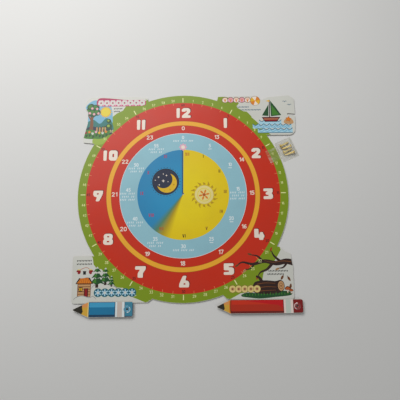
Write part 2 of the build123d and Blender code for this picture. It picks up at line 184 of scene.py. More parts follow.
class Graph:
    """The node tree of one material around its Principled surface, or of the room's light."""

    def __init__(self, name: str, room: bool = False) -> None:
        """Makes the material or the room with its coordinates and its surface.

        Args:
            name: Its name.
            room: Whether it is the room's light.
        """
        self.made = (bpy.data.worlds if room else bpy.data.materials).new(name)
        self.made.use_nodes = True
        self.tree = self.made.node_tree
        self.surface = self.tree.nodes["Background" if room else "Principled BSDF"]
        self.place = self.node("ShaderNodeTexCoord", {}, {}).outputs["Object"]

    def node(self, kind: str, settings: Mapping[str, Any], inputs: Mapping[str | int, Any]) -> bpy.types.Node:
        """Adds a node.

        Args:
            kind: The node's type.
            settings: Its properties, or "stops" for a colour ramp's places and colours.
            inputs: What each socket takes, a link or a constant.

        Returns:
            The node.
        """
        made = self.tree.nodes.new(kind)
        for key, setting in settings.items():
            if key == "stops":
                self._set_stops(made.color_ramp.elements, setting)
            else:
                setattr(made, key, setting)
        for key, given in inputs.items():
            self.feed(made.inputs[key], given)
        return made

    @staticmethod
    def _set_stops(elements: Any, stops: Sequence[tuple[float, Colour]]) -> None:
        """Writes a colour ramp's stops over the two that it comes with.

        Args:
            elements: The ramp's own stops.
            stops: Each stop's place and colour.
        """
        while len(elements) < len(stops):
            elements.new(1.0)
        for element, (place, colour) in zip(elements, stops, strict=True):
            element.position = place
            element.color = colour

    def feed(self, socket: bpy.types.NodeSocket, given: Any) -> None:
        """Links or sets a socket.

        Args:
            socket: The input.
            given: A Value, an output socket or a constant.
        """
        if isinstance(given, Value):
            given = given.socket
        if isinstance(given, bpy.types.NodeSocket):
            self.tree.links.new(given, socket)
        else:
            socket.default_value = given

    def value(self, kind: str, settings: Mapping[str, Any], inputs: Mapping[str | int, Any]) -> Value:
        """Adds a node and gives its first output as a number."""
        return Value(self, self.node(kind, settings, inputs).outputs[0])

    def vector(self, operation: str, first: Any, second: Any) -> bpy.types.NodeSocket:
        """Works out a vector from two."""
        return self.node("ShaderNodeVectorMath", {"operation": operation}, {0: first, 1: second}).outputs[0]

    def measure(self, operation: str, *vectors: Any) -> Value:
        """Works out a number from one or two vectors."""
        made = self.node("ShaderNodeVectorMath", {"operation": operation}, dict(enumerate(vectors)))
        return Value(self, made.outputs["Value"])

    def most(self, first: Value, second: Value) -> Value:
        """The larger of two values."""
        return self.value("ShaderNodeMath", {"operation": "MAXIMUM"}, {0: first, 1: second})

    def noise(self, scale: float, detail: float = 2.0, stretch: Triple = (1, 1, 1)) -> Value:
        """Noise of about 0.3 to 0.7, with roughly scale features to a metre, times its stretch along each axis."""
        at = self.vector("MULTIPLY", self.place, stretch)
        return self.value("ShaderNodeTexNoise", {}, {"Vector": at, "Scale": scale, "Detail": detail})

    def mix(self, share: "Value | float", first: Any, second: Any, blend: str = "MIX") -> bpy.types.NodeSocket:
        """Mixes two colours, with a share of the second."""
        settings = {"data_type": "RGBA", "blend_type": blend}
        return self.node("ShaderNodeMix", settings, {0: share, 6: first, 7: second}).outputs[2]

    def bump(self, height: Value, depth: float, strength: float) -> bpy.types.NodeSocket:
        """Turns a height into a normal, where a height of 1 stands for the depth in millimetres."""
        inputs = {"Height": height, "Distance": depth * MM, "Strength": strength}
        return self.node("ShaderNodeBump", {}, inputs).outputs[0]

    def finish(self, **inputs: Any) -> Any:
        """Feeds the surface's sockets.

        Args:
            **inputs: The sockets' names in lower case with underscores, and what each takes.

        Returns:
            The material, or the room's light.
        """
        sockets = {socket.name.lower().replace(" ", "_"): socket for socket in self.surface.inputs}
        for key, given in inputs.items():
            self.feed(sockets[key], given)
        return self.made


# ---------------------------------------------------------------- finishes
@dataclass(frozen=True)
class PrintedInk:
    """One ink of an offset print under gloss laminate."""

    ink: Ink
    mottle: float = 0.1
    gloss: float = 0.35

    def colour(self, graph: Graph) -> Any:
        """The ink's colour, as press and paper leave it."""
        return linear(*self.ink.value)

    def make(self) -> bpy.types.Material:
        """Builds the material.

        Returns:
            The material.
        """
        graph = Graph("ink_" + self.ink.name.lower())
        grain = graph.noise(scale=2600, detail=3)
        cloud = graph.noise(scale=38)
        base = self.colour(graph)
        lighter = graph.mix(1.0, base, (1.15, 1.13, 1.1, 1), "MULTIPLY")
        darker = graph.mix(1.0, base, (0.8, 0.8, 0.8, 1), "MULTIPLY")
        mottled = graph.mix(grain.between(0.35, 0.65) * self.mottle * 2, base, lighter)
        shade = graph.mix(cloud.between(0.4, 0.75) * self.mottle * 2.4, mottled, darker)
        wave = graph.noise(scale=26, detail=1)
        fine = graph.noise(scale=900)
        return graph.finish(
            base_color=shade,
            roughness=0.34 + 0.12 * cloud + 0.1 * grain,
            specular_ior_level=0.2,
            coat_weight=0.1 + 0.3 * cloud,
            coat_roughness=self.gloss,
            normal=graph.bump(wave + 0.02 * fine, depth=0.9, strength=0.5),
        )


@dataclass(frozen=True)
class DuskInk(PrintedInk):
    """The centre's day and night, which run into each other from six to seven."""

    day: Colour = linear(234, 209, 18)
    day_deep: Colour = linear(228, 196, 16)
    dusk: Colour = linear(176, 150, 30)
    teal: Colour = linear(84, 130, 96)
    night: Colour = linear(44, 144, 190)
    night_deep: Colour = linear(38, 130, 178)
    deepens_from: float = 20.0
    deepens_to: float = 58.0

    def around(self, graph: Graph, turn: Value, day: Colour, night: Colour) -> bpy.types.NodeSocket:
        """Day and night by the share of a turn clockwise from six."""
        stops = [(0.045, day), (0.075, self.dusk), (0.1, self.teal), (0.125, night), (0.4999, night), (0.5001, day)]
        return graph.node("ShaderNodeValToRGB", {"stops": stops}, {0: turn}).outputs[0]

    def colour(self, graph: Graph) -> Any:
        """Day and night by the angle around the centre, deeper towards the rim.

        Args:
            graph: The material's nodes.

        Returns:
            The colour.
        """
        split = graph.node("ShaderNodeSeparateXYZ", {}, {0: graph.place})
        x, y = split.outputs[0], split.outputs[1]
        turn = graph.value("ShaderNodeMath", {"operation": "ARCTAN2"}, {0: x, 1: y}) * (0.5 / math.pi) + 0.5
        rim = graph.measure("LENGTH", graph.place).between(self.deepens_from * MM, self.deepens_to * MM)
        plain = self.around(graph, turn, self.day, self.night)
        deep = self.around(graph, turn, self.day_deep, self.night_deep)
        return graph.mix(rim * 0.8, plain, deep)


@dataclass(frozen=True)
class GreyBoard:
    """Bare grey board, with its fibres and the cut's layers."""

    pale: Colour = linear(186, 180, 168)
    dark: Colour = linear(140, 132, 120)
    fleck: Colour = linear(96, 84, 70)

    def make(self) -> bpy.types.Material:
        """Builds the material.

        Returns:
            The material.
        """
        graph = Graph("grey_board")
        fibre = graph.noise(scale=420, detail=4, stretch=(1, 1, 9))
        speck = graph.noise(scale=1800)
        colour = graph.mix(fibre.between(0.35, 0.65), self.dark, self.pale)
        return graph.finish(
            base_color=graph.mix(speck.between(0.62, 0.7) * 0.5, colour, self.fleck),
            roughness=0.86 + 0.1 * fibre,
            specular_ior_level=0.2,
            normal=graph.bump(fibre + 0.4 * speck, depth=0.12, strength=0.8),
        )


@dataclass(frozen=True)
class CoatedPaper:
    """The white face sheet, seen at its cut edge."""

    shade: Colour = linear(206, 202, 194)
    white: Colour = linear(228, 226, 220)

    def make(self) -> bpy.types.Material:
        """Builds the material.

        Returns:
            The material.
        """
        graph = Graph("coated_paper")
        fibre = graph.noise(scale=900, detail=3)
        return graph.finish(
            base_color=graph.mix(fibre.between(0.3, 0.7), self.shade, self.white),
            roughness=0.6 + 0.2 * fibre,
            normal=graph.bump(fibre, depth=0.04, strength=0.6),
        )


@dataclass(frozen=True)
class Lacquer:
    """Gloss lacquer over rolled sheet metal, with random pale scuffs and a painted highlight in an arc on one side of
    the flange and a dot beyond.
    """

    name: str
    colour: Colour
    # Pale colour of the random scuffs and of the painted highlight.
    worn: Colour
    middle: Point
    # Directions in degrees of the painted highlight's arc and of its dot, and the arc's radius in millimetres.
    turn: float
    bead_turn: float
    radius: float = 3.5

    def make(self) -> bpy.types.Material:
        """Builds the material.

        Returns:
            The material.
        """
        graph = Graph(self.name)
        rub = graph.noise(scale=1500, detail=3)
        ripple = graph.noise(scale=700, detail=1)
        centre = (self.middle[0] * MM, self.middle[1] * MM, 0)
        out = graph.vector("SUBTRACT", graph.place, centre)
        flat = graph.vector("MULTIPLY", out, (1 / MM, 1 / MM, 0))
        reach = graph.measure("LENGTH", flat)
        along = graph.measure("DOT_PRODUCT", flat, self.way(self.turn))
        # The pale arc along the flange's rim and the pale dot beyond it are a painted highlight; the random scuffs are
        # wear.
        end = self.way(self.bead_turn)
        glint_dot = graph.measure("DISTANCE", flat, (end[0] * self.radius, end[1] * self.radius, 0))
        arc = reach.between(self.radius - 0.4, self.radius - 0.15) * along.between(0.8, 1.5)
        rim = arc * (1 - reach.between(self.radius + 0.15, self.radius + 0.4))
        pale = graph.most(rim * (0.75 + 0.25 * rub.between(0.4, 0.6)), 1 - glint_dot.between(0.5, 1.0))
        scuffed = graph.mix(rub.between(0.6, 0.75) * 0.3, self.colour, self.worn)
        return graph.finish(
            base_color=graph.mix(pale, scuffed, self.worn),
            metallic=0.06 + 0.08 * rub,
            roughness=0.2 + 0.15 * rub,
            coat_weight=0.9 - 0.3 * rub,
            coat_roughness=0.08,
            normal=graph.bump(ripple + 0.2 * rub, depth=0.05, strength=0.5),
        )

    @staticmethod
    def way(turn: float) -> Triple:
        """The direction at a turn in degrees."""
        return math.cos(math.radians(turn)), math.sin(math.radians(turn)), 0.0


@dataclass(frozen=True)
class BrassSheet:
    """Thin bright brassed sheet with draw lines and slight tarnish."""

    bright: Colour = linear(240, 216, 140)
    dull: Colour = linear(176, 132, 66)

    def make(self) -> bpy.types.Material:
        """Builds the material.

        Returns:
            The material.
        """
        graph = Graph("brass_sheet")
        tarnish = graph.noise(scale=420, detail=4)
        draw = graph.noise(scale=3000, stretch=(1, 1, 0.15))
        return graph.finish(
            base_color=graph.mix(tarnish.between(0.5, 0.7), self.bright, self.dull),
            metallic=0.8 - 0.1 * tarnish,
            roughness=0.3 + 0.3 * tarnish.between(0.4, 0.7) + 0.08 * draw,
            normal=graph.bump(draw + 0.5 * tarnish, depth=0.03, strength=0.6),
        )


@dataclass(frozen=True)
class ClearFilm:
    """Clear crinkled film, cloudier where it is sealed or creased, with painted highlights in small white patches."""

    name: str
    haze: float
    crease: float
    tint: Colour = linear(164, 160, 118)
    shine: Colour = linear(250, 250, 244)

    def make(self) -> bpy.types.Material:
        """Builds the material.

        Returns:
            The material.
        """
        graph = Graph(self.name)
        crinkle = graph.noise(scale=130)
        fine = graph.noise(scale=420, detail=1)
        cloud = crinkle.between(0.42, 0.68)
        # Painted highlights: small patches where the film turns white and more opaque.
        glint = fine.between(0.66, 0.72) * cloud
        return graph.finish(
            base_color=graph.mix(cloud * 0.4 + glint * 0.6, self.tint, self.shine),
            roughness=0.12 + 0.2 * fine,
            ior=1.46,
            specular_ior_level=0.6,
            alpha=self.haze + self.crease * cloud + 0.5 * glint,
            normal=graph.bump(crinkle, depth=0.3, strength=0.18),
        )


@dataclass(frozen=True)
class PaintedTable:
    """The pale matt surface under the clock."""

    pale: Colour = linear(222, 221, 218)
    shade: Colour = linear(200, 198, 194)

    def make(self) -> bpy.types.Material:
        """Builds the material.

        Returns:
            The material.
        """
        graph = Graph("painted_table")
        broad = graph.noise(scale=3)
        tooth = graph.noise(scale=500)
        return graph.finish(
            base_color=graph.mix(broad.between(0.3, 0.7) * 0.06, self.pale, self.shade),
            roughness=0.75 + 0.1 * tooth,
            specular_ior_level=0.2,
            normal=graph.bump(tooth, depth=0.02, strength=0.3),
        )


# ---------------------------------------------------------------- drawing
def circle(x: float, y: float, radius: float, count: int) -> Outline:
    """A circle's outline, anticlockwise."""
    return ellipse(x, y, radius, radius, 0, count)


def ellipse(x: float, y: float, rx: float, ry: float, turn: float = 0, count: int = 24) -> Outline:
    """An ellipse's outline.

    Args:
        x: Its centre's x.
        y: Its centre's y.
        rx: Its half width.
        ry: Its half height.
        turn: How far it is turned anticlockwise, in degrees.
        count: How many points it has.

    Returns:
        The outline, anticlockwise.
    """
    c, s = math.cos(math.radians(turn)), math.sin(math.radians(turn))
    steps = [2 * math.pi * n / count for n in range(count)]
    return [
        (x + rx * math.cos(a) * c - ry * math.sin(a) * s, y + rx * math.cos(a) * s + ry * math.sin(a) * c)
        for a in steps
    ]


def smooth(points: Sequence[Point], closed: bool = True, steps: int = 5) -> Outline:
    """Draws a soft curve through points.

    Args:
        points: The points it passes.
        closed: Whether it comes back to the first.
        steps: How many points it has from one to the next.

    Returns:
        The curve's points.
    """
    count = len(points)
    last = count if closed else count - 1
    curve: Outline = []
    for n in range(last):
        a, b, c, d = (
            points[(n + k) % count] if closed else points[min(max(n + k, 0), count - 1)] for k in (-1, 0, 1, 2)
        )
        for step in range(steps):
            t = step / steps
            w = (
                -0.5 * t**3 + t**2 - 0.5 * t,
                1.5 * t**3 - 2.5 * t**2 + 1,
                -1.5 * t**3 + 2 * t**2 + 0.5 * t,
                0.5 * t**3 - 0.5 * t**2,
            )
            curve.append(tuple(sum(k * p[i] for k, p in zip(w, (a, b, c, d), strict=True)) for i in (0, 1)))
    return curve if closed else [*curve, points[-1]]


def stroke(points: Sequence[Point], width: float, end: float | None = None) -> Outline:
    """Thickens a line.

    Args:
        points: The line's points.
        width: Its width at the first point.
        end: Its width at the last point, if not the same.

    Returns:
        The outline.
    """
    end = width if end is None else end
    left: Outline = []
    right: Outline = []
    for n, (x, y) in enumerate(points):
        (x0, y0), (x1, y1) = points[max(n - 1, 0)], points[min(n + 1, len(points) - 1)]
        size = math.hypot(x1 - x0, y1 - y0) or 1
        half = (width + (end - width) * n / (len(points) - 1)) / 2
        nx, ny = -(y1 - y0) / size * half, (x1 - x0) / size * half
        left.append((x + nx, y + ny))
        right.append((x - nx, y - ny))
    return right + left[::-1]


def placed(points: Sequence[Point], x: float, y: float, size: float = 1.0, turn: float = 0.0) -> Outline:
    """Scales points around their own middle, turns them by degrees and moves the middle to x, y."""
    c, s = size * math.cos(math.radians(turn)), size * math.sin(math.radians(turn))
    return [(x + px * c - py * s, y + px * s + py * c) for px, py in points]


def rectangle(left: float, low: float, right: float, high: float) -> Outline:
    """A rectangle's outline, anticlockwise."""
    return [(left, low), (right, low), (right, high), (left, high)]


def star(x: float, y: float, outer: float, inner: float, count: int, turn: float = 90) -> Outline:
    """A star's outline.

    Args:
        x: Its centre's x.
        y: Its centre's y.
        outer: The radius of its points.
        inner: The radius between them.
        count: How many points it has.
        turn: The first point's direction, in degrees.

    Returns:
        The outline, anticlockwise.
    """
    made = []
    for n in range(2 * count):
        a = math.radians(turn + 180 * n / count)
        reach = inner if n % 2 else outer
        made.append((x + reach * math.cos(a), y + reach * math.sin(a)))
    return made


def area(outline: Sequence[Point]) -> float:
    """The outline's area, positive if it runs anticlockwise."""
    pairs = zip(outline, [*outline[1:], outline[0]], strict=True)
    return sum(x0 * y1 - x1 * y0 for (x0, y0), (x1, y1) in pairs) / 2


def anticlockwise(outline: Sequence[Point]) -> Outline:
    """The outline, turned round if it runs clockwise."""
    return list(outline) if area(outline) > 0 else list(outline)[::-1]


def eased(outline: Sequence[Point], radius: float) -> Outline:
    """Takes the corners off an outline.

    Args:
        outline: The outline.
        radius: How far from a corner the easing starts, at most.

    Returns:
        The outline with three points for each corner.
    """
    made: Outline = []
    count = len(outline)
    for n in range(count):
        corner = Vector(outline[n])
        before, after = Vector(outline[n - 1]) - corner, Vector(outline[(n + 1) % count]) - corner
        a = corner + before.normalized() * min(radius, before.length * 0.4)
        b = corner + after.normalized() * min(radius, after.length * 0.4)
        middle = corner * 0.5 + (a + b) * 0.25
        made += [tuple(a), tuple(middle), tuple(b)]
    return made


def inset(outline: Sequence[Point], depth: Callable[[Point], float]) -> Outline:
    """Draws an outline just inside another.

    Args:
        outline: The outer one, anticlockwise.
        depth: How far inside it is at a point.

    Returns:
        The inner outline.
    """
    made: Outline = []
    count = len(outline)
    for n, here in enumerate(outline):
        (x0, y0), (x1, y1) = outline[n - 1], outline[(n + 1) % count]
        size = math.hypot(x1 - x0, y1 - y0) or 1
        far = depth(here)
        made.append((here[0] - (y1 - y0) / size * far, here[1] + (x1 - x0) / size * far))
    return made


# ---------------------------------------------------------------- printing
GLYPHS: dict[str, tuple[Outline, ...]] = {
    "0": (
        [(2, 0), (8, 0), (9.8, 2), (9.8, 12), (8, 14), (2, 14), (0.2, 12), (0.2, 2)],
        [(4.1, 4.6), (5.9, 4.6), (5.9, 9.4), (4.1, 9.4)],
    ),
    "1": ([(0.2, 0), (3.4, 0), (3.7, 14), (0.6, 14), (0, 12.8)],),
    "2": (
        [(0.4, 0), (9.8, 0), (9.8, 3.6), (6.4, 3.8), (9.5, 8.2), (9.5, 11.8), (7.6, 14), (2.2, 14), (0.3, 11.8)]
        + [(0.3, 8.8), (4.4, 8.8), (4.7, 10.4), (5.7, 10.2), (5.7, 8.6), (0.5, 3.2)],
    ),
    "3": (
        [(0.2, 0), (8.2, 0), (9.9, 1.8), (9.9, 5.8), (8.4, 7.4), (9.8, 9.4), (9.8, 14), (0.4, 14), (0.2, 10.4)]
        + [(5, 10.2), (2.5, 8.6), (2.5, 6), (5.4, 5.4), (5.4, 4), (0.2, 3.8)],
    ),
    "4": (
        [(0.3, 14), (0.2, 2.8), (5, 2.8), (5, 0), (9.2, 0), (9.2, 2.8), (10.2, 3), (10.2, 6.6), (9.2, 6.8)]
        + [(9.2, 9.8), (5.8, 9.8), (5.6, 6.8), (4.6, 6.8), (4.6, 14)],
    ),
    "5": (
        [(0.3, 0), (8.2, 0), (9.9, 1.8), (9.9, 7.6), (8.2, 9.2), (5, 9.2), (5, 10.5), (9.5, 10.5), (9.5, 14)]
        + [(0.5, 14), (0.5, 5.6), (5.3, 5.4), (5.3, 3.6), (0.3, 3.4)],
    ),
    "6": (
        [(0, 0), (9.6, 0), (10.2, 5), (8.8, 8), (6.2, 8.2), (7.4, 14), (3.8, 14), (2, 9.2), (0.2, 4)],
        [(4.2, 3.3), (6.4, 3.3), (6.2, 5.3), (4.6, 5.1)],
    ),
    "7": ([(2.8, 0), (7.4, 0), (7.4, 5.8), (9.8, 10.2), (9.8, 14), (0.4, 14), (0.4, 9.8), (4.8, 9.8), (2.8, 5.4)],),
    "8": (
        [(1.9, 0), (8.1, 0), (9.9, 1.8), (9.9, 5.8), (8.7, 7.3), (9.5, 8.8), (9.5, 12.2), (7.8, 14), (2.2, 14)]
        + [(0.5, 12.2), (0.5, 8.8), (1.3, 7.3), (0.1, 5.8), (0.1, 1.8)],
        [(3.9, 9.4), (6.1, 9.4), (6.1, 11), (3.9, 11)],
        [(3.7, 3.2), (6.3, 3.2), (6.3, 5), (3.7, 5)],
    ),
}
GLYPHS |= {
    digit: tuple([(5 + (x - 5) * wide, y) for x, y in loop] for loop in GLYPHS[digit])
    for digit, wide in (("0", 0.94), ("5", 1.06), ("7", 1.12))
}
GLYPHS["9"] = tuple([(10 - x, 14 - y) for x, y in loop] for loop in GLYPHS["6"])
GLYPH_HEIGHT, STROKE_HEIGHT = 14, 10
NARROW, WIDE, GLYPH_GAP, GLYPH_CORNER, GLYPH_STRETCH = 5.3, 10.9, 0.8, 1.1, 1.26
THIN_STEP, THICK_STEP, STROKE_GAP = 4.6, 7.6, 1.6
STROKES: dict[str, tuple[Outline, ...]] = {
    "0": ([(3, 10), (0.9, 8.6), (0.4, 5), (0.9, 1.4), (3, 0), (5.1, 1.4), (5.6, 5), (5.1, 8.6), (3, 10)],),
    "1": ([(1.3, 8), (3.3, 10), (3.3, 0)],),
    "2": ([(0.6, 8), (1.5, 9.7), (3.6, 10), (5.3, 8.6), (4.9, 6.4), (0.6, 0), (5.7, 0)],),
    "3": ([(0.7, 9.8), (5.2, 9.8), (2.8, 6), (4.8, 5.2), (5.4, 2.8), (4.4, 0.6), (2.4, 0), (0.5, 1.2)],),
    "4": ([(4.2, 0), (4.2, 10), (0.4, 3.2), (5.9, 3.2)],),
    "5": ([(5.3, 10), (1.3, 10), (1, 5.8), (3.8, 6.2), (5.4, 4.2), (5, 1.4), (2.8, 0), (0.5, 1)],),
    "6": ([(4.9, 9.8), (2, 7.8), (0.6, 4), (1.3, 0.9), (3.3, 0), (5.3, 1.3), (5.2, 4.2), (3.3, 5.4), (1, 4)],),
    "7": ([(0.5, 10), (5.5, 10), (2.4, 0)],),
    "8": (
        [(3, 5.4), (1, 7.4), (1.3, 9.4), (3, 10), (4.7, 9.4), (5, 7.4), (3, 5.4)],
        [(3, 5.4), (0.6, 3), (1, 0.8), (3, 0), (5, 0.8), (5.4, 3), (3, 5.4)],
    ),
}
STROKES["9"] = tuple([(6 - x, 10 - y) for x, y in line] for line in STROKES["6"])
OVERRUN = 0.32
ROMAN = ("XII", "I", "II", "III", "IV", "V", "VI", "VII", "VIII", "IX", "X", "XI")
SHEET, PRINTED = -2, -1


@dataclass
class Printing:
    """A flat print on one sheet, drawn area over area and cut into pieces with one closed skin each."""

    level: float
    trim: list[Outline]
    thickness: float = 0.015
    bare_edge: float = 0.22
    edge_wander: float = 0.16
    areas: list[tuple[str, Ink, list[Outline]]] = field(default_factory=list)
    part: str = ""

    def lay(self, ink: Ink, outline: Sequence[Point], *openings: Sequence[Point]) -> None:
        """Prints an area over what is there, but for its openings."""
        self.areas.append((self.part, ink, [anticlockwise(loop) for loop in (outline, *openings)]))

    def bar(self, ink: Ink, first: Point, last: Point, width: float) -> None:
        """Prints a straight bar."""
        self.lay(ink, stroke([first, last], width))

    def rounds(self, x: float, y: float, *rings: tuple[Ink, float, int]) -> None:
        """Prints discs over each other around one centre, each by its ink, radius and number of points."""
        for ink, radius, count in rings:
            self.lay(ink, circle(x, y, radius, count))

    def number(self, ink: Ink, text: str, x: float, y: float, height: float) -> None:
        """Prints a heavy number, upright and centred.

        Args:
            ink: Its ink.
            text: Its digits.
            x: Its centre's x.
            y: Its centre's y.
            height: Its height.
        """
        unit = height / GLYPH_HEIGHT
        foot, across = y - height / 2, unit * GLYPH_STRETCH
        steps = [NARROW if digit == "1" else WIDE for digit in text]
        at = x - (sum(steps) - GLYPH_GAP) * across / 2
        for digit, step in zip(text, steps, strict=True):
            loops = [eased(loop, GLYPH_CORNER) for loop in GLYPHS[digit]]
            self.lay(ink, *([(at + px * across, foot + py * unit) for px, py in loop] for loop in loops))
            at += step * across

    def line(self, ink: Ink, points: Sequence[Point], width: float) -> None:
        """Prints a line of straight strokes, each as its own area.

        Args:
            ink: Its ink.
            points: The line's points.
            width: Its width.
        """
        for (x0, y0), (x1, y1) in zip(points, points[1:]):
            size = math.hypot(x1 - x0, y1 - y0)
            ex, ey = (x1 - x0) / size * width * OVERRUN, (y1 - y0) / size * width * OVERRUN
            self.bar(ink, (x0 - ex, y0 - ey), (x1 + ex, y1 + ey), width)

    def small_number(
        self, ink: Ink, text: str, x: float, y: float, height: float, weight: float, wide: float = 1.0
    ) -> None:
        """Prints a light number, upright and centred.

        Args:
            ink: Its ink.
            text: Its digits.
            x: Its centre's x.
            y: Its centre's y.
            height: Its height.
            weight: Its strokes' width, as a share of its height.
            wide: How much broader its digits are than their plain form.
        """
        unit, foot = height / STROKE_HEIGHT, y - height / 2
        across = unit * wide
        steps = [THIN_STEP if digit == "1" else THICK_STEP for digit in text]
        at = x - (sum(steps) - STROKE_GAP) * across / 2
        for digit, step in zip(text, steps, strict=True):
            for points in STROKES[digit]:
                self.line(ink, [(at + px * across, foot + py * unit) for px, py in points], weight * height)
            at += step * across

    def roman(self, ink: Ink, text: str, x: float, y: float, height: float) -> None:
        """Prints a Roman numeral, upright and centred.

        Args:
            ink: Its ink.
            text: Its letters.
            x: Its centre's x.
            y: Its centre's y.
            height: Its height.
        """
        widths = {"I": 0.32, "V": 0.78, "X": 0.78}
        at = x - sum(widths[c] for c in text) * height / 2
        low, high, line = y - height / 2, y + height / 2, 0.17 * height
        for c in text:
            wide = widths[c] * height
            a, b, middle = at + line, at + wide - line, at + wide / 2
            legs = {"I": ((middle, middle),), "V": ((a, middle), (b, middle)), "X": ((a, b), (b, a))}
            for top, foot in legs[c]:
                self.bar(ink, (top, high), (foot, low), line)
            at += wide

    def _areas_over(self) -> tuple[list[Vector], list[tuple[list[int], Ink, str]]]:
        """Parts the sheet into triangles of one ink.

        Returns:
            The corners, and for each triangle its corners, ink and part.
        """
        corners: list[Vector] = []
        loops: list[list[int]] = []
        owner: list[tuple[int, bool]] = []

        def add(loop: Sequence[Point], index: int, opening: bool) -> None:
            """Adds a loop of constraint lines.

            Args:
                loop: Its points.
                index: Its area's place in the list of areas, or SHEET or PRINTED for the sheet's own edges.
                opening: Whether it bounds an opening.
            """
            loops.append(list(range(len(corners), len(corners) + len(loop))))
            corners.extend(Vector(p) for p in loop)
            owner.append((index, opening))

        def depth(point: Point) -> float:
            """How wide the bare edge is at a point."""
            return self.bare_edge + self.edge_wander * noise.noise(Vector((*point, 0)) * 0.9)

        for n, outlines in ((SHEET, self.trim), (PRINTED, [inset(loop, depth) for loop in self.trim])):
            for loop in outlines:
                add(loop, n, loop is not outlines[0])
        for n, (_, _, outlines) in enumerate(self.areas):
            for loop in outlines:
                add(loop, n, loop is not outlines[0])
        inner_only, merging = 1, 1e-5
        found, _, triangles, _, _, sources = delaunay_2d_cdt(corners, [], loops, inner_only, merging)
        made = []
        for triangle, source in zip(triangles, sources, strict=True):
            inside = {owner[s][0] for s in source if not owner[s][1]}
            inside -= {owner[s][0] for s in source if owner[s][1]}
            if SHEET not in inside:
                continue
            top = max(inside) if PRINTED in inside else PRINTED
            part, ink, _ = self.areas[top] if top >= 0 else (self.areas[0][0], Ink.BARE_EDGE, [])
            made.append((triangle, ink, part))
        return found, made

    def build(self, finish: Callable[[Ink], bpy.types.Material]) -> dict[str, bpy.types.Object]:
        """Makes the print's pieces.

        Args:
            finish: Gives an ink's material.

        Returns:
            The pieces by name.
        """
        corners, triangles = self._areas_over()
        pieces = {}
        for part in dict.fromkeys(part for _, _, part in triangles):
            mine = [(triangle, ink) for triangle, ink, owner in triangles if owner == part]
            inks = list(dict.fromkeys(ink for _, ink in mine))
            index = {v: n for n, v in enumerate(dict.fromkeys(v for triangle, _ in mine for v in triangle))}
            top = (self.level + self.thickness) * MM
            points = [Vector((corners[v].x * MM, corners[v].y * MM, top)) for v in index]
            faces = [tuple(index[v] for v in triangle) for triangle, _ in mine]
            slots = [inks.index(ink) for _, ink in mine]
            pieces[part] = place(part, closed_sheet(part, points, faces, self.thickness, slots))
            for ink in inks:
                pieces[part].data.materials.append(finish(ink))
        return pieces


def closed_sheet(
    name: str, points: Sequence[Vector], faces: Sequence[tuple[int, ...]], depth: float, slots: Sequence[int]
) -> bpy.types.Mesh:
    """Makes a sheet with a closed skin from its upper side.

    Args:
        name: The mesh's name.
        points: The upper side's points, in metres.
        faces: The upper side's faces, anticlockwise from above.
        depth: How far the lower side is below, in millimetres.
        slots: Each face's material slot.

    Returns:
        The mesh.
    """
    half = len(points)
    edges = {(face[k - 1], face[k]): slot for face, slot in zip(faces, slots, strict=True) for k in range(len(face))}
    rims = {(b, a, a + half, b + half): slot for (a, b), slot in edges.items() if (b, a) not in edges}
    lower = [tuple(v + half for v in reversed(face)) for face in faces]
    down = Vector((0, 0, depth * MM))
    mesh = bpy.data.meshes.new(name)
    mesh.from_pydata([*points, *(point - down for point in points)], [], [*faces, *lower, *rims])
    mesh.polygons.foreach_set("material_index", [*slots, *slots, *rims.values()])
    mesh.update()
    return mesh


def place(name: str, mesh: bpy.types.Mesh) -> bpy.types.Object:
    """Puts a mesh in the scene as a piece.

    Args:
        name: The piece's name.
        mesh: Its mesh.

    Returns:
        The piece.
    """
    piece = bpy.data.objects.new(name, mesh)
    bpy.context.scene.collection.objects.link(piece)
    return piece


def dress(node: str, finish: bpy.types.Material) -> None:
    """Gives a CAD node its material.

    Args:
        node: The node's name.
        finish: The material.
    """
    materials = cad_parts[node].data.materials
    materials.clear()
    materials.append(finish)


def top_loops(node: str) -> list[Outline]:
    """Reads the outlines of a CAD sheet's upper face.

    Args:
        node: The CAD node.

    Returns:
        The loops in millimetres, the outer one first and all anticlockwise.
    """
    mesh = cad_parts[node].data
    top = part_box(node)[1].z
    keys = [tuple(round(c / MM, 4) for c in v.co) for v in mesh.vertices]
    used: set[tuple[Any, Any]] = set()
    for face in mesh.polygons:
        if face.normal.z > 0.5 and all(abs(mesh.vertices[v].co.z - top) < 1e-6 for v in face.vertices):
            ring = [keys[v][:2] for v in face.vertices]
            used |= set(zip(ring, [*ring[1:], ring[0]], strict=True))
    follow = {a: b for a, b in used if (b, a) not in used}
    loops = []
    while follow:
        start, here = follow.popitem()
        loop = [start]
        while here != start:
            loop.append(here)
            here = follow.pop(here)
        loops.append(loop)
    loops.sort(key=lambda loop: -abs(area(loop)))
    return [anticlockwise(loop) for loop in loops]


class Inks:
    """The inks' materials, made once each."""

    def __init__(self) -> None:
        """Starts with none."""
        self.made: dict[Ink, bpy.types.Material] = {}

    def __call__(self, ink: Ink) -> bpy.types.Material:
        """Gives an ink's material.

        Args:
            ink: The ink.

        Returns:
            Its material.
        """
        if ink not in self.made:
            self.made[ink] = (DuskInk(ink) if ink is Ink.DUSK else PrintedInk(ink)).make()
        return self.made[ink]


def clock_point(minute: float, radius: float) -> Point:
    """The point at a minute of the hour, at a radius from the centre."""
    a = math.radians(6 * minute)
    return radius * math.sin(a), radius * math.cos(a)


# ---------------------------------------------------------------- dial
@dataclass(frozen=True)
class MinuteMark:
    """How a minute is marked: its tick, its number's place and strokes, and their inks."""

    tick: Point
    tick_width: float
    tick_ink: Ink
    ring: float
    weight: float
    ink: Ink


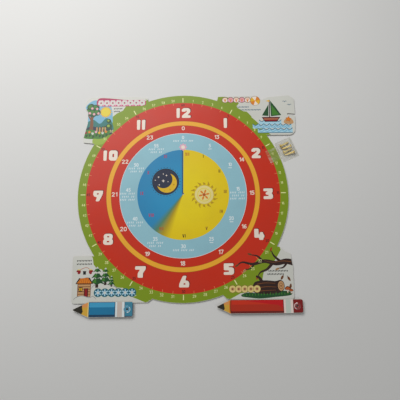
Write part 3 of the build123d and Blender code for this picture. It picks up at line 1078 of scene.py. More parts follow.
@dataclass
class Dial:
    """The printed dial: its rings, scales, day and night, and its four seasons' corners."""

    inks: Inks
    sheet: Printing = field(init=False)
    rim: float = 132.0
    green_inner: float = 121.5
    band_outer: float = 96.0
    band_inner: float = 90.5
    band_shade: float = 0.4
    blue_outer: float = 79.5
    blue_edge: float = 0.25
    centre: float = 57.5
    hour_ring: float = 107.3
    hour_height: float = 13.6
    hour_shade_height: float = 14.2
    hour_shade: Point = (0.75, 0.45)
    day_hour_ring: float = 85.6
    day_hour_height: float = 4.5
    minute_height: float = 3.0
    minute: MinuteMark = MinuteMark((118.4, 121.9), 0.45, Ink.SCALE, ring=124.9, weight=0.14, ink=Ink.TICK)
    five_minutes: MinuteMark = MinuteMark((122.4, 128.4), 1.1, Ink.TICK, ring=118.6, weight=0.18, ink=Ink.DARK_MARK)
    blue_marks_ring: float = 68.8
    blue_mark_height: float = 4.0
    tally_drop: float = 4.6
    tally_pitch: float = 3.9
    roman_ring: float = 51.6
    roman_height: float = 4.2
    rosette: float = 61.0
    # For each five minutes on the blue ring, how many rows of strokes, their width, and the number's rise.
    blue_marks: tuple[tuple[int, float, float], ...] = (
        (1, 24.0, 5.2), (0, 0.0, 3.0), (0, 0.0, 3.0), (3, 19.0, 5.6), (0, 0.0, 3.0), (0, 0.0, 3.0),
        (1, 24.0, 3.6), (2, 18.0, 3.6), (2, 18.0, 3.6), (3, 19.0, 5.6), (2, 18.0, 3.6), (2, 18.0, 3.6),
    )
    # How far each numeral stands off its even place, from one o'clock.
    nudges: tuple[Point, ...] = (
        (1.9, 0.2), (0.4, -1.6), (-0.9, -1.1), (0.0, 2.0), (1.0, 0.0), (0.9, 0.3),
        (1.8, -2.2), (1.0, -2.0), (0.9, -1.6), (0.5, -2.8), (-0.3, -1.0), (0.9, 0.3),
    )
    # The same for the hours after noon and the Roman numerals, from twelve o'clock.
    day_nudges: tuple[Point, ...] = (
        (0.3, 0.9), (0.6, 0.0), (0.5, 0.9), (0.4, 0.4), (0.6, 1.2), (2.8, 1.7),
        (-0.9, 0.0), (-1.0, 0.3), (0.5, -0.5), (-0.6, 0.2), (0.3, -0.3), (0.0, 0.3),
    )
    roman_nudges: tuple[Point, ...] = (
        (5.2, 0.0), (0.0, 4.0), (1.3, 3.1), (1.1, 2.4), (2.7, 3.1), (2.9, 1.1),
        (0.8, -0.9), (-1.4, 1.3), (4.9, -0.8), (0.0, 1.1), (0.5, 2.0), (3.1, 4.2),
    )

    def build(self) -> None:
        """Prints the dial, one area over the other, and cuts it into its pieces."""
        node = "dial_face_sheet"
        self.sheet = Printing(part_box(node)[1].z / MM, top_loops(node))
        for part, draw in (
            ("corner_grounds", self.ground),
            ("green_rim", self.green_rim),
            ("red_rings", self.red_rings),
            ("spring_corner", self.spring),
            ("summer_corner", self.summer),
            ("winter_corner", self.winter),
            ("autumn_corner", self.autumn),
            ("minute_scale", self.minute_scale),
            ("hour_numerals", self.hours),
            ("yellow_band", self.band),
            ("day_hour_numerals", self.day_hours),
            ("blue_ring", self.blue_ring),
            ("blue_ring_marks", self.blue_ring_marks),
            ("day_and_night", self.day_and_night),
            ("rosette", self.flower),
            ("roman_numerals", self.romans),
            ("sun", self.sun),
            ("moon", self.moon),
        ):
            self.sheet.part = part
            draw()
        for name, piece in self.sheet.build(self.inks).items():
            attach(piece, "dial")
            log.info("print %s: %d faces", name, len(piece.data.polygons))

    def ground(self) -> None:
        """Prints the white ground of the corners."""
        self.sheet.lay(Ink.WHITE, rectangle(-160, -160, 160, 160))

    def green_rim(self) -> None:
        """Prints the green ring, with some bleed."""
        self.sheet.rounds(0, 0, (Ink.GREEN, self.rim + 2.6, 200))

    def red_rings(self) -> None:
        """Prints the red ground of the hours."""
        self.sheet.rounds(0, 0, (Ink.RED, self.green_inner, 200))

    def hours(self) -> None:
        """Prints the twelve large numerals over their thin shades."""
        right, up = self.hour_shade
        for hour in range(1, 13):
            x, y = clock_point(5 * hour, self.hour_ring)
            dx, dy = self.nudges[hour - 1]
            self.sheet.number(Ink.RED_SHADE, str(hour), x + dx + right, y + dy + up, self.hour_shade_height)
            self.sheet.number(Ink.CREAM, str(hour), x + dx, y + dy, self.hour_height)

    def band(self) -> None:
        """Prints the yellow band between two thin shades."""
        for ink, grow in ((Ink.RING_SHADE, self.band_shade), (Ink.YELLOW_RING, 0.0)):
            outer, inner = circle(0, 0, self.band_outer + grow, 180), circle(0, 0, self.band_inner - grow, 180)
            self.sheet.lay(ink, outer, inner)

    def day_hours(self) -> None:
        """Prints the hours after noon inside the yellow band."""
        for hour, (dx, dy) in enumerate(self.day_nudges):
            x, y = clock_point(5 * hour, self.day_hour_ring)
            text = str(hour + 12) if hour else "0"
            self.sheet.small_number(Ink.CREAM, text, x + dx, y + dy, self.day_hour_height, weight=0.21, wide=1.3)

    def minute_scale(self) -> None:
        """Prints the minute ticks and their numbers."""
        for minute in range(60):
            mark = self.minute if minute % 5 else self.five_minutes
            first, last = (clock_point(minute, radius) for radius in mark.tick)
            self.sheet.bar(mark.tick_ink, first, last, mark.tick_width)
            x, y = clock_point(minute, mark.ring)
            self.sheet.small_number(mark.ink, str(minute or 60), x, y, self.minute_height, mark.weight)

    def tallies(self, x: float, y: float, width: float, rows: int) -> None:
        """Prints rows of short strokes in pale ink.

        Args:
            x: The block's centre.
            y: The first row's height.
            width: The longest row's width.
            rows: How many rows there are.
        """
        lean, rise, thick, closest, short = 0.35, 1.1, 0.8, 0.95, 0.72
        for row in range(rows):
            half, level = width / 2 * (short if row % 2 else 1.0), y - self.tally_pitch * row
            count = round(half / closest)
            for n in range(count):
                if n % 5 != 4:
                    at = x - half + 2 * half * n / (count - 1)
                    self.sheet.bar(Ink.PALE_MARK, (at - lean, level - rise), (at + lean, level + rise), thick)

    def blue_ring(self) -> None:
        """Prints the pale blue ring with its white edge."""
        edge, outer = self.blue_edge, self.blue_outer
        self.sheet.rounds(0, 0, (Ink.PALE_MARK, outer + edge, 200), (Ink.BLUE_RING, outer - edge, 200))

    def blue_ring_marks(self) -> None:
        """Prints the blue ring's minutes, each over its rows of strokes or a dash."""
        for hour, (rows, width, rise) in enumerate(self.blue_marks):
            x, y = clock_point(5 * hour, self.blue_marks_ring)
            top = y + rise
            self.sheet.small_number(Ink.PALE_MARK, str(5 * hour), x, top, self.blue_mark_height, weight=0.2)
            self.tallies(x, top - self.tally_drop, width, rows)
            if not rows:
                self.sheet.bar(Ink.PALE_MARK, (x - 2.2, top - 4.4), (x + 2.2, top - 4.4), 0.9)

    def day_and_night(self) -> None:
        """Prints the centre, with the shade between night and day."""
        self.sheet.rounds(0, 0, (Ink.DUSK, self.centre, 160))
        self.sheet.bar(Ink.NIGHT_EDGE, (-0.8, 0.6), (-0.8, self.centre - 0.1), 1.6)

    def flower(self) -> None:
        """Prints the eight-petalled rosette over the centre's top."""
        for turn in range(0, 360, 45):
            (petal,) = placed([(3.1, 0)], 0, self.rosette, turn=turn)
            self.sheet.lay(Ink.PINK, ellipse(*petal, 2.0, 1.1, turn, 12))
        self.sheet.rounds(0, self.rosette, (Ink.CREAM, 2.4, 20))

    def romans(self) -> None:
        """Prints the Roman numerals, darker by day than by night."""
        plain = {0: Ink.RUST, 1: Ink.BARK, 2: Ink.BARK, 6: Ink.BARK, 7: Ink.RUST}
        for hour, (text, (dx, dy)) in enumerate(zip(ROMAN, self.roman_nudges, strict=True)):
            x, y = clock_point(5 * hour, self.roman_ring)
            ink = Ink.MAGENTA if hour >= 8 else plain.get(hour, Ink.BROWN)
            self.sheet.roman(ink, text, x + dx, y + dy, self.roman_height)

    def sun(self) -> None:
        """Prints a plain sun of curved rays around a ringed disc."""
        x, y = 26.2, -1.4
        for n in range(16):
            a = math.radians(22.5 * n)
            reach = 18.2 if n % 2 else 16.4
            ray = ((12.9, -0.15), (14.9, -0.12), (reach, 0.12), (14.8, 0.06), (12.9, 0.09))
            self.sheet.lay(Ink.SUN_RAY, [(x + r * math.cos(a + t), y + r * math.sin(a + t)) for r, t in ray])
        disc = ((Ink.SUN_RAY, 12.3, 40), (Ink.SUN_DISC, 11.8, 40), (Ink.LEMON, 8.6, 36), (Ink.SUN_DISC, 7.8, 36))
        self.sheet.rounds(x, y, *disc)
        for turn in range(12, 360, 60):
            (petal,) = placed([(4.4, 0)], x, y, turn=turn)
            self.sheet.lay(Ink.ORANGE, ellipse(*petal, 2.5, 1.15, turn, 14))
        self.sheet.rounds(x, y, (Ink.RUST, 2.0, 16))

    def moon(self) -> None:
        """Prints a plain crescent in a round patch of night sky, with stars and a ring of dots."""
        sheet = self.sheet
        x, y = -22.1, 15.8
        for turn in range(0, 360, 12):
            (dot,) = placed([(18.4, 0)], x, y, turn=turn)
            sheet.rounds(*dot, (Ink.NIGHT_SKY, 0.55, 8))
        sheet.rounds(x, y, (Ink.BLACK, 17.0, 48), (Ink.NIGHT_SKY, 16.2, 48))
        sheet.rounds(x + 1.6, y - 1.6, (Ink.MOON, 12.6, 44))
        for px, py, size in ((10.0, -4.0, 1.7), (5.4, -10.4, 1.4), (11.4, 1.8, 1.0), (-1.6, -12.0, 1.0)):
            sheet.rounds(x + px, y + py, (Ink.AMBER, size, 14))
            sheet.rounds(x + px + 0.3, y + py + 0.2, (Ink.SUN_RAY, size * 0.6, 12))
        sheet.rounds(x - 2.6, y + 2.8, (Ink.NIGHT_SKY, 11.2, 44))
        stars = ((-3, 1, 2.2), (-9, 6, 1.5), (1, 8, 1.4), (-8, -4, 1.3), (3, 0, 1.0), (-3, 10, 1.1), (-13, 2, 1.0))
        for px, py, size in stars:
            sheet.lay(Ink.CREAM, star(x + px, y + py, size, size * 0.38, 4))

    def blob(self, ink: Ink, points: Sequence[Point], steps: int = 5) -> None:
        """Prints a soft closed shape through points."""
        self.sheet.lay(ink, smooth(points, steps=steps))

    def blossoms(self, heart: Ink, petal: Ink, edge: Ink, places: Sequence[Triple]) -> None:
        """Prints five-petalled flowers.

        Args:
            heart: The middle's ink.
            petal: The petals' ink.
            edge: The ink of the line around them.
            places: Each flower's centre and radius.
        """
        for x, y, size in places:
            for ink, grow in ((edge, 0.45), (petal, 0.0)):
                for n in range(5):
                    (at,) = placed([(0.55 * size, 0)], x, y, turn=72 * n + 18 + 9 * x)
                    self.sheet.rounds(*at, (ink, 0.47 * size + grow, 12))
            self.sheet.rounds(x, y, (heart, 0.3 * size, 10))

    def pips(self, ink: Ink, rows: Sequence[Triple]) -> None:
        """Prints short rows of small drops.

        Args:
            ink: Their ink.
            rows: Each row's first x, last x and y.
        """
        for first, last, y in rows:
            count = max(2, round((last - first) / 1.9))
            for n in range(count + 1):
                at = first + (last - first) * n / count
                self.sheet.lay(ink, ellipse(at, y + 0.25 * (n % 2), 0.62, 1.0, 20, 8))

    def limbs(self, ink: Ink, *lines: tuple[Outline, float, float]) -> None:
        """Prints tapering curved limbs.

        Args:
            ink: Their ink.
            *lines: Each limb's points, and its width at the first and the last.
        """
        for points, width, end in lines:
            self.sheet.lay(ink, stroke(smooth(points, False), width, end))

    def discs(self, ink: Ink, places: Sequence[Triple], share: float = 1.0) -> None:
        """Prints a cluster of discs.

        Args:
            ink: Their ink.
            places: Each disc's centre and radius.
            share: How much of the radius they have, drawn towards their upper left.
        """
        for x, y, size in places:
            away = (1 - share) * size * 0.4
            self.sheet.rounds(x - away, y + away, (ink, size * share, 16))

    def leaf(self, ink: Ink, x: float, y: float, size: float, turn: float) -> None:
        """Prints a pointed leaf with its midrib.

        Args:
            ink: Its ink.
            x: Its middle's x.
            y: Its middle's y.
            size: Half its length.
            turn: The way its tip points, in degrees.
        """
        blade = [(-1, 0), (-0.35, 0.42), (0.4, 0.36), (1, 0), (0.4, -0.36), (-0.35, -0.42)]
        self.blob(ink, placed(blade, x, y, size, turn), 3)
        self.sheet.bar(Ink.BARK, *placed([(-1.35, 0), (0.7, 0)], x, y, size, turn), 0.5)

    def fir(self, x: float, y: float, height: float) -> None:
        """Prints a fir with snow on its three tiers.

        Args:
            x: Its trunk's x.
            y: Its foot's height.
            height: Its height.
        """
        self.sheet.bar(Ink.BARK, (x, y), (x, y + 0.3 * height), 0.12 * height)
        for tier in range(3):
            foot, size = y + (0.13 + 0.25 * tier) * height, (0.31 - 0.07 * tier) * height
            for ink, outline in (
                (Ink.FOREST, [(-1, 0), (-0.5, 0.16), (0, -0.04), (0.5, 0.16), (1, 0), (0, 1.3)]),
                (Ink.LEAF, [(-0.6, 0.26), (-0.1, 0.16), (-0.1, 1.0)]),
                (Ink.WHITE, [(0, 1.34), (0.34, 0.9), (0.12, 0.74), (0, 0.92), (-0.16, 0.7), (-0.34, 0.9)]),
            ):
                self.sheet.lay(ink, placed(outline, x, foot, size))

    def spring(self) -> None:
        """Prints the upper left corner: a blossom ribbon over a tree, the sun and a bed of tulips."""
        sheet = self.sheet
        shoulder = [(-50.4, 128.2), (-46.2, 125), (-59, 118.9), (-74.8, 117.8), (-78.7, 111.7), (-86.2, 108)]
        shoulder += [(-91.3, 103.7), (-93.5, 99.4), (-92.5, 79.2), (-75.9, 94.3), (-43.3, 121.2), (-43.4, 125)]
        sheet.lay(Ink.GREEN, shoulder)
        sky = [(-129, 100), (-128, 116), (-120, 125), (-111, 126), (-94.3, 118), (-93, 88), (-110, 84), (-128, 86)]
        self.blob(Ink.SKY, sky, 3)
        sheet.lay(Ink.AMBER, star(-101, 110, 8.2, 6.2, 15))
        sheet.rounds(-101, 110, (Ink.LEMON, 5.7, 32))
        for ink, hills in (
            (Ink.TEAL, [(-126.5, 93), (-117, 99.5), (-108, 94), (-100, 101.5), (-92.5, 96), (-93, 82), (-127, 80)]),
            (Ink.NIGHT_SKY, [(-126.5, 86), (-118, 90.5), (-106, 87.5), (-97, 93), (-92.8, 88), (-94, 79), (-127, 78)]),
        ):
            self.blob(ink, hills)
        self.limbs(
            Ink.BROWN,
            ([(-119.5, 80), (-118.6, 96), (-119.4, 112)], 5.2, 2.6),
            ([(-118.8, 101), (-114.5, 107), (-112, 112)], 2.6, 1.2),
            ([(-119, 98), (-123, 105), (-124.6, 111)], 2.2, 1),
        )
        crown = [(-123.4, 110, 4.9), (-112.2, 109.6, 4.6), (-117.8, 108.6, 5.6)]
        crown += [(-120.4, 116.6, 5.2), (-114, 116, 4.6)]
        self.discs(Ink.FOREST, crown)
        self.discs(Ink.LEAF, crown, 0.55)
        self.blossoms(Ink.LEMON, Ink.PINK, Ink.FOREST, [(x + 1.6, y - 1.4, 1.7) for x, y, _ in crown])
        hedge = [(-96, 90, 4), (-101.5, 87, 3.8), (-107.2, 86.4, 3.4), (-96.5, 97.5, 3)]
        self.discs(Ink.FOREST, hedge)
        self.discs(Ink.LIME, hedge, 0.45)
        for n in range(4):
            for ink, half, shoulders, top in ((Ink.BARK, 1.4, 88.6, 90.6), (Ink.TAN, 0.9, 88.3, 89.6)):
                pale = [(-half, 80), (half, 80), (half, shoulders), (0, top), (-half, shoulders)]
                sheet.lay(ink, placed(pale, -111.6 + 3.6 * n, 0))
        bed = [(-129, 84), (-118, 85.8), (-106, 82.4), (-94, 85), (-97, 78), (-107, 73.4), (-128.5, 74.6)]
        self.blob(Ink.LEAF, bed)
        cup = [(-1.7, 2.3), (-1.5, -0.7), (0, -1.7), (1.5, -0.7), (1.7, 2.3), (0.8, 0.9), (0, 2.5), (-0.8, 0.9)]
        for n, ink in enumerate((Ink.CRIMSON, Ink.ORANGE, Ink.WHITE, Ink.PINK, Ink.AMBER, Ink.WHITE, Ink.ORANGE)):
            x, y = -125.6 + 4.3 * n, 81.6 + 1.2 * math.sin(2.4 * n)
            sheet.bar(Ink.FOREST, (x, y - 5.6), (x, y), 0.9)
            self.leaf(Ink.FOREST, x + 1.3, y - 4, 2, 60)
            sheet.lay(ink, placed(cup, x, y, 0.95))
        lawn = [(-116.2, 73.3), (-108.7, 73.1), (-100.1, 73.9), (-98.4, 72.6), (-103.8, 66.1), (-115.3, 66.2)]
        self.blob(Ink.LIME, lawn, 3)
        self.pips(Ink.BLACK, ((-89.8, -80.2, 114.4), (-89.8, -83.1, 110.6)))
        ribbon = [(-112.5, 126.5), (-108, 129.6), (-92, 128.6), (-71, 126.4), (-51, 126.2), (-48.8, 122)]
        ribbon += [(-51.4, 118.6), (-71, 117.8), (-94, 117.8), (-110, 118.4), (-113.4, 122)]
        self.blob(Ink.MAGENTA, ribbon, 3)
        row = [(-107.6 + 7.7 * n, 122.6, 4) for n in range(8)]
        self.blossoms(Ink.MAGENTA, Ink.WHITE, Ink.PINK, row)
        for x, _, _ in row[:-1]:
            sheet.lay(Ink.PINK, ellipse(x + 3.85, 119.6, 1.5, 0.7, 35, 10))

    def summer(self) -> None:
        """Prints the upper right corner: shells and a ball over a sailing boat on the waves."""
        sheet = self.sheet
        shoulder = [(45.4, 130.3), (52.4, 130.5), (62, 127.7), (73.6, 120.4), (70.5, 116.5), (72.5, 110.2)]
        shoulder += [(83.5, 108.5), (89.2, 102.2), (90.3, 93.7), (107.3, 82), (113.6, 76.5), (109.8, 73.5)]
        sheet.lay(Ink.GREEN, [*shoulder, (81.6, 96.9), (45.2, 122.3)])
        fan = [(-4, -1.6), (-3.6, 2), (-1.6, 3.9), (1.6, 3.9), (3.6, 2), (4, -1.6), (1.4, -3.6), (-1.4, -3.6)]
        for n in range(5):
            x, y = 55.4 + 7.4 * n, 124.9
            for ink, size in ((Ink.BROWN, 1.02), (Ink.PINK if n % 2 else Ink.CREAM, 0.84)):
                self.blob(ink, placed(fan, x, y, size))
            for lean in (-0.7, 0, 0.7):
                sheet.bar(Ink.ORANGE, (x, y - 2.6), (x + 2.6 * lean, y + 2.4), 0.7)
        sheet.rounds(95, 123.6, (Ink.BROWN, 6.6, 32))
        for n in range(6):
            a, b = math.radians(60 * n + 10), math.radians(60 * n + 70)
            wedge = [(math.cos(a + (b - a) * k / 5), math.sin(a + (b - a) * k / 5)) for k in range(6)]
            sheet.lay((Ink.ORANGE, Ink.CREAM, Ink.AMBER)[n % 3], placed([(0, 0), *wedge], 95, 123.6, 6.2))
        self.pips(Ink.NAVY, ((72.3, 85.5, 114.9), (76, 100.9, 110.9)))
        for n, (y, first, last) in enumerate(((97, 99, 128), (91.6, 90.6, 141), (85.8, 97, 142))):
            count = round((last - first) / 7.2)
            step = (last - first) / count
            wave = [(s, 2.4 * math.sin(math.pi * s)) for s in (0, 0.25, 0.5, 0.75)]
            crest = [(first + step * (k + s), y - dip) for k in range(count) for s, dip in wave]
            crest.append((last, y))
            sheet.lay(Ink.ICE, [(first, y - 6.4), (last, y - 6.4), *crest[::-1]])
            sheet.lay(Ink.NAVY, stroke(crest, 0.9))
            if n:
                sheet.lay(Ink.SKY, stroke([(x + 1, py - 2.6) for x, py in crest[:-2]], 1.1))
        sheet.bar(Ink.NAVY, (97, 79.2), (142, 79.2), 0.8)
        sheet.bar(Ink.BARK, (113, 98), (113.6, 124.6), 1.2)
        for ink, outline in (
            (Ink.FOREST, [(114.8, 101.8), (128.4, 103.2), (121.4, 114.4), (114.6, 123.6)]),
            (Ink.LEAF, [(116.2, 103.4), (125.6, 104.2), (119.6, 112.6), (116, 117.4)]),
            (Ink.FOREST, [(111.6, 102), (103.2, 103), (112.2, 118.4)]),
            (Ink.AMBER, [(113.6, 124.6), (113.6, 121.8), (108.4, 123.2)]),
            (Ink.BARK, [(102.6, 100.8), (127, 100.8), (122.4, 94.2), (106.6, 94.2)]),
            (Ink.CRIMSON, [(104.2, 99.8), (125.2, 99.8), (121.6, 95.2), (107.2, 95.2)]),
        ):
            sheet.lay(ink, outline)
        sheet.bar(Ink.TAN, (105.4, 98), (124.2, 98), 0.9)
        for x, y in ((133.6, 121.6), (139.4, 117)):
            for side in (-1, 1):
                self.limbs(Ink.NAVY, ([(x + 2.8 * side, y + 0.8), (x + 1.2 * side, y + 1.4), (x, y)], 0.5, 0.8))
        self.blob(Ink.TAN, [(131, 93.2), (134, 98.4), (139.6, 99), (143.4, 95.4), (143, 91.6), (136, 91)])
        sheet.lay(Ink.RUST, eased(star(137.4, 97.8, 4.6, 2, 5, 80), 1.2))
        sheet.lay(Ink.ORANGE, eased(star(137.4, 97.8, 3.7, 1.6, 5, 80), 1))

    def winter(self) -> None:
        """Prints the lower left corner: a cabin and firs in the snow over a chain of snow crystals."""
        sheet = self.sheet
        shoulder = [(-114.1, -68.3), (-109.7, -78), (-108.4, -85.7), (-104.6, -90.5), (-98.6, -91.6), (-92.2, -97.3)]
        shoulder += [(-84.8, -108.2), (-80.7, -113), (-55.8, -114.5), (-54.3, -121.9)]
        shoulder += [(-60.6, -124.3), (-45.3, -130.5)]
        sheet.lay(Ink.GREEN, [*shoulder, (-40.2, -129.4), (-63.6, -106.9), (-96.9, -74.9), (-102.4, -68.5)])
        self.pips(Ink.BLACK, ((-128, -111.6, -81.3), (-128, -111, -85.3)))
        self.blob(Ink.GREY, [(-108.4, -111), (-99, -106.6), (-88, -109.6), (-80, -112.4), (-84, -117), (-108, -117)])
        self.blob(Ink.WHITE, [(-108.4, -112), (-99, -107.6), (-88, -110.6), (-81, -113), (-84, -118), (-108, -118)])
        for x, y, height in ((-93.6, -110, 24), (-103.6, -113, 29), (-86.2, -112, 15)):
            self.fir(x, y, height)
        chimney = [(-120.6, -100), (-117.2, -100), (-117.2, -94.6), (-116.6, -93.4), (-121.2, -93.4), (-120.6, -94.6)]
        sheet.lay(Ink.BLACK, chimney)
        sheet.lay(Ink.BROWN, rectangle(-126.6, -123.4, -110.6, -108))
        for n in range(5):
            sheet.bar(Ink.TAN, (-125.8, -121.8 + 2.9 * n), (-111.4, -121.8 + 2.9 * n), 2.1)
        sheet.lay(Ink.BARK, [(-129.2, -108.6), (-108, -108.6), (-113.4, -99.2), (-123.8, -99.2)])
        sheet.lay(Ink.ORANGE, [(-127.4, -107.8), (-109.8, -107.8), (-114.2, -101.4), (-123, -101.4)])
        for n in range(6):
            sheet.bar(Ink.RUST, (-125.4 + 2.7 * n, -107.8), (-122.4 + 1.5 * n, -101.4), 0.6)
        drift = [(-124.4, -98.6), (-118.6, -97.6), (-112.8, -98.6), (-111.8, -101.2), (-116, -101), (-121, -101.8)]
        self.blob(Ink.WHITE, [*drift, (-125.4, -101.4)])
        for ink, *sides in (
            (Ink.BLACK, -118.6, -123.4, -113.6, -113.6),
            (Ink.CRIMSON, -117.8, -123.4, -114.4, -114.4),
            (Ink.BLACK, -125, -117.2, -120.4, -112.2),
            (Ink.AMBER, -124.2, -116.4, -122.9, -113),
            (Ink.AMBER, -122.3, -116.4, -121, -113),
        ):
            sheet.lay(ink, rectangle(*sides))
        bank = ((-129, -124.4), (-121, -121.8), (-112, -124), (-107.6, -122.4), (-105, -127.4), (-128.6, -128))
        self.blob(Ink.GREY, bank)
        bank = ((-129, -125.2), (-121, -122.6), (-112, -124.8), (-107.6, -123.2), (-105, -128.4), (-128.6, -129))
        self.blob(Ink.WHITE, bank)
        self.limbs(Ink.RUST, ([(-125.6, -92.6), (-120.6, -90.2), (-116, -89.4), (-111.6, -92.4)], 0.6, 0.6))
        mitten = [(-1.6, 1.8), (1.6, 1.8), (2, -1.4), (0.6, -3.2), (-1.4, -2.8), (-1.8, -0.6)]
        mitten += [(-3.2, -0.8), (-2.8, 0.6)]
        for x, side in ((-125.6, 1), (-111.6, -1)):
            self.blob(Ink.CRIMSON, [(x + side * px, -93.8 + py) for px, py in mitten], 3)
            sheet.bar(Ink.STRAW, (x - 1.7, -91.8), (x + 1.7, -91.8), 1.3)
        chain = [(-101.8 + 8.1 * n, -118.9) for n in range(6)]
        for x, y in chain:
            sheet.rounds(x, y, (Ink.TEAL, 5.1, 20), (Ink.NAVY, 4.5, 18))
        for x, y in chain:
            for turn in (30, 90, 150):
                sheet.bar(Ink.ICE, *placed([(-4, 0), (4, 0)], x, y, turn=turn), 1.5)
            sheet.rounds(x, y, (Ink.WHITE, 1.5, 12))

    def autumn(self) -> None:
        """Prints the lower right corner: a hanging bough, a fallen log, toadstools and a row of straw rounds."""
        sheet = self.sheet
        shoulder = [(122.3, -54), (117.4, -67.2), (118.3, -70.7), (114.8, -76.8), (110.3, -83.6), (103, -89.7)]
        shoulder += [(96.4, -97.7), (94, -108.5), (81.8, -119), (68.1, -121.4), (55.6, -127.9), (43.4, -126.4)]
        sheet.lay(Ink.GREEN, [*shoulder, (43.6, -114.5), (82.6, -97.6), (104.1, -67.7)])
        bough = [(134, -86.4), (124, -84.4), (112, -86.6), (98, -84), (84, -87.4), (72, -85), (66, -87.6)]
        self.limbs(
            Ink.BARK,
            (bough, 7.6, 1),
            ([(118, -85), (110, -78), (107, -71.6)], 3.6, 0.8),
            ([(108, -86), (101, -93.6), (93, -97), (89.6, -101.6)], 4, 0.8),
            ([(96, -84.4), (90, -78), (82, -76.4)], 3, 0.8),
            ([(86, -87), (81, -92.4), (74.6, -94)], 2.4, 0.8),
            ([(126, -85), (120.4, -91.6), (114.6, -92.4)], 3, 0.8),
        )
        self.limbs(Ink.BROWN, ([(130, -85), (120, -84), (108, -85.4), (98, -83.4)], 1, 0.4))
        for ink, x, y, size, turn in (
            (Ink.RUST, 106.6, -69.8, 2.9, 70),
            (Ink.BROWN, 80.4, -75.6, 2.9, 165),
            (Ink.TAN, 73.4, -95.4, 2.9, 230),
            (Ink.RUST, 88.6, -103.4, 2.9, 250),
            (Ink.BROWN, 64.6, -89, 2.9, 210),
            (Ink.TAN, 113.2, -93.4, 2.9, 200),
            (Ink.BROWN, 126.6, -105, 3.2, 300),
            (Ink.BROWN, 118.4, -103.6, 3.2, 240),
            (Ink.BROWN, 128, -113.6, 3.2, 80),
        ):
            self.leaf(ink, x, y, size, turn)
        self.pips(Ink.BLACK, ((103, 125.2, -95.8), (101.6, 120, -99.6)))
        grass = [(69, -123), (76, -120.6), (92, -121.4), (108, -119.6), (122, -119), (129, -121)]
        grass += [(127, -124.2), (110, -126), (92, -127.6), (78, -126.4), (70, -125.2)]
        self.blob(Ink.FOREST, grass)
        log_side = [(84, -120.4), (83, -113), (86.6, -108), (98, -106.6), (110, -107.6), (117, -107)]
        self.blob(Ink.BARK, [*log_side, (117, -119.6), (100, -122.4)])
        self.limbs(Ink.BARK, ([(94, -108), (91, -103.4), (87, -101.8)], 4, 2.2))
        self.limbs(
            Ink.BROWN,
            ([(88, -111), (98, -109.6), (110, -110.4)], 0.9, 0.5),
            ([(87, -115.4), (100, -114), (111, -114.6)], 0.9, 0.5),
            ([(90, -119), (101, -118.4), (110, -118)], 0.8, 0.4),
        )
        rings = ((Ink.BARK, 1), (Ink.TAN, 0.86), (Ink.BROWN, 0.56), (Ink.TAN, 0.46), (Ink.BROWN, 0.18))
        for ink, share in rings:
            sheet.lay(ink, ellipse(116.6, -113.3, 4.3 * share, 6.6 * share))
        cap = [(-3.6, -0.4), (-2.6, 2.2), (0, 3.4), (2.6, 2.2), (3.6, -0.4), (0, -1.1)]
        for x, y, size in ((124.4, -117, 1), (128.4, -119, 0.7)):
            sheet.lay(Ink.BROWN, placed([(-1.2, -4.6), (1.2, -4.6), (0.8, 0), (-0.8, 0)], x, y, size))
            sheet.lay(Ink.CREAM, placed([(-0.7, -4.2), (0.7, -4.2), (0.5, 0), (-0.5, 0)], x, y, size))
            self.blob(Ink.BARK, placed(cap, x, y, size))
            self.blob(Ink.RUST, placed(cap, x, y, size * 0.8))
        for n in range(16):
            blade = [(-0.7, 0), (0.7, 0.2), (0.2, 3.4 + 0.8 * math.sin(3 * n))]
            sheet.lay(Ink.LEAF, placed(blade, 71.6 + 3.5 * n, -124.6 + 0.1 * n, 1, 8 * math.sin(2 * n)))
        straw = ((Ink.BROWN, 4.5, 20), (Ink.STRAW, 4.1, 20), (Ink.TAN, 2.1, 16), (Ink.BROWN, 1, 12))
        for n in range(5):
            sheet.rounds(58.6 + 7.3 * n, -116.4, *straw)


# ---------------------------------------------------------------- hands
@dataclass(frozen=True)
class PencilColours:
    """The inks of one pencil."""

    light: Ink
    rich: Ink | None
    middle: Ink
    dark: Ink
    rubber: Ink
    tin: Ink
    tin_edge: Ink
    paint_edge: Ink


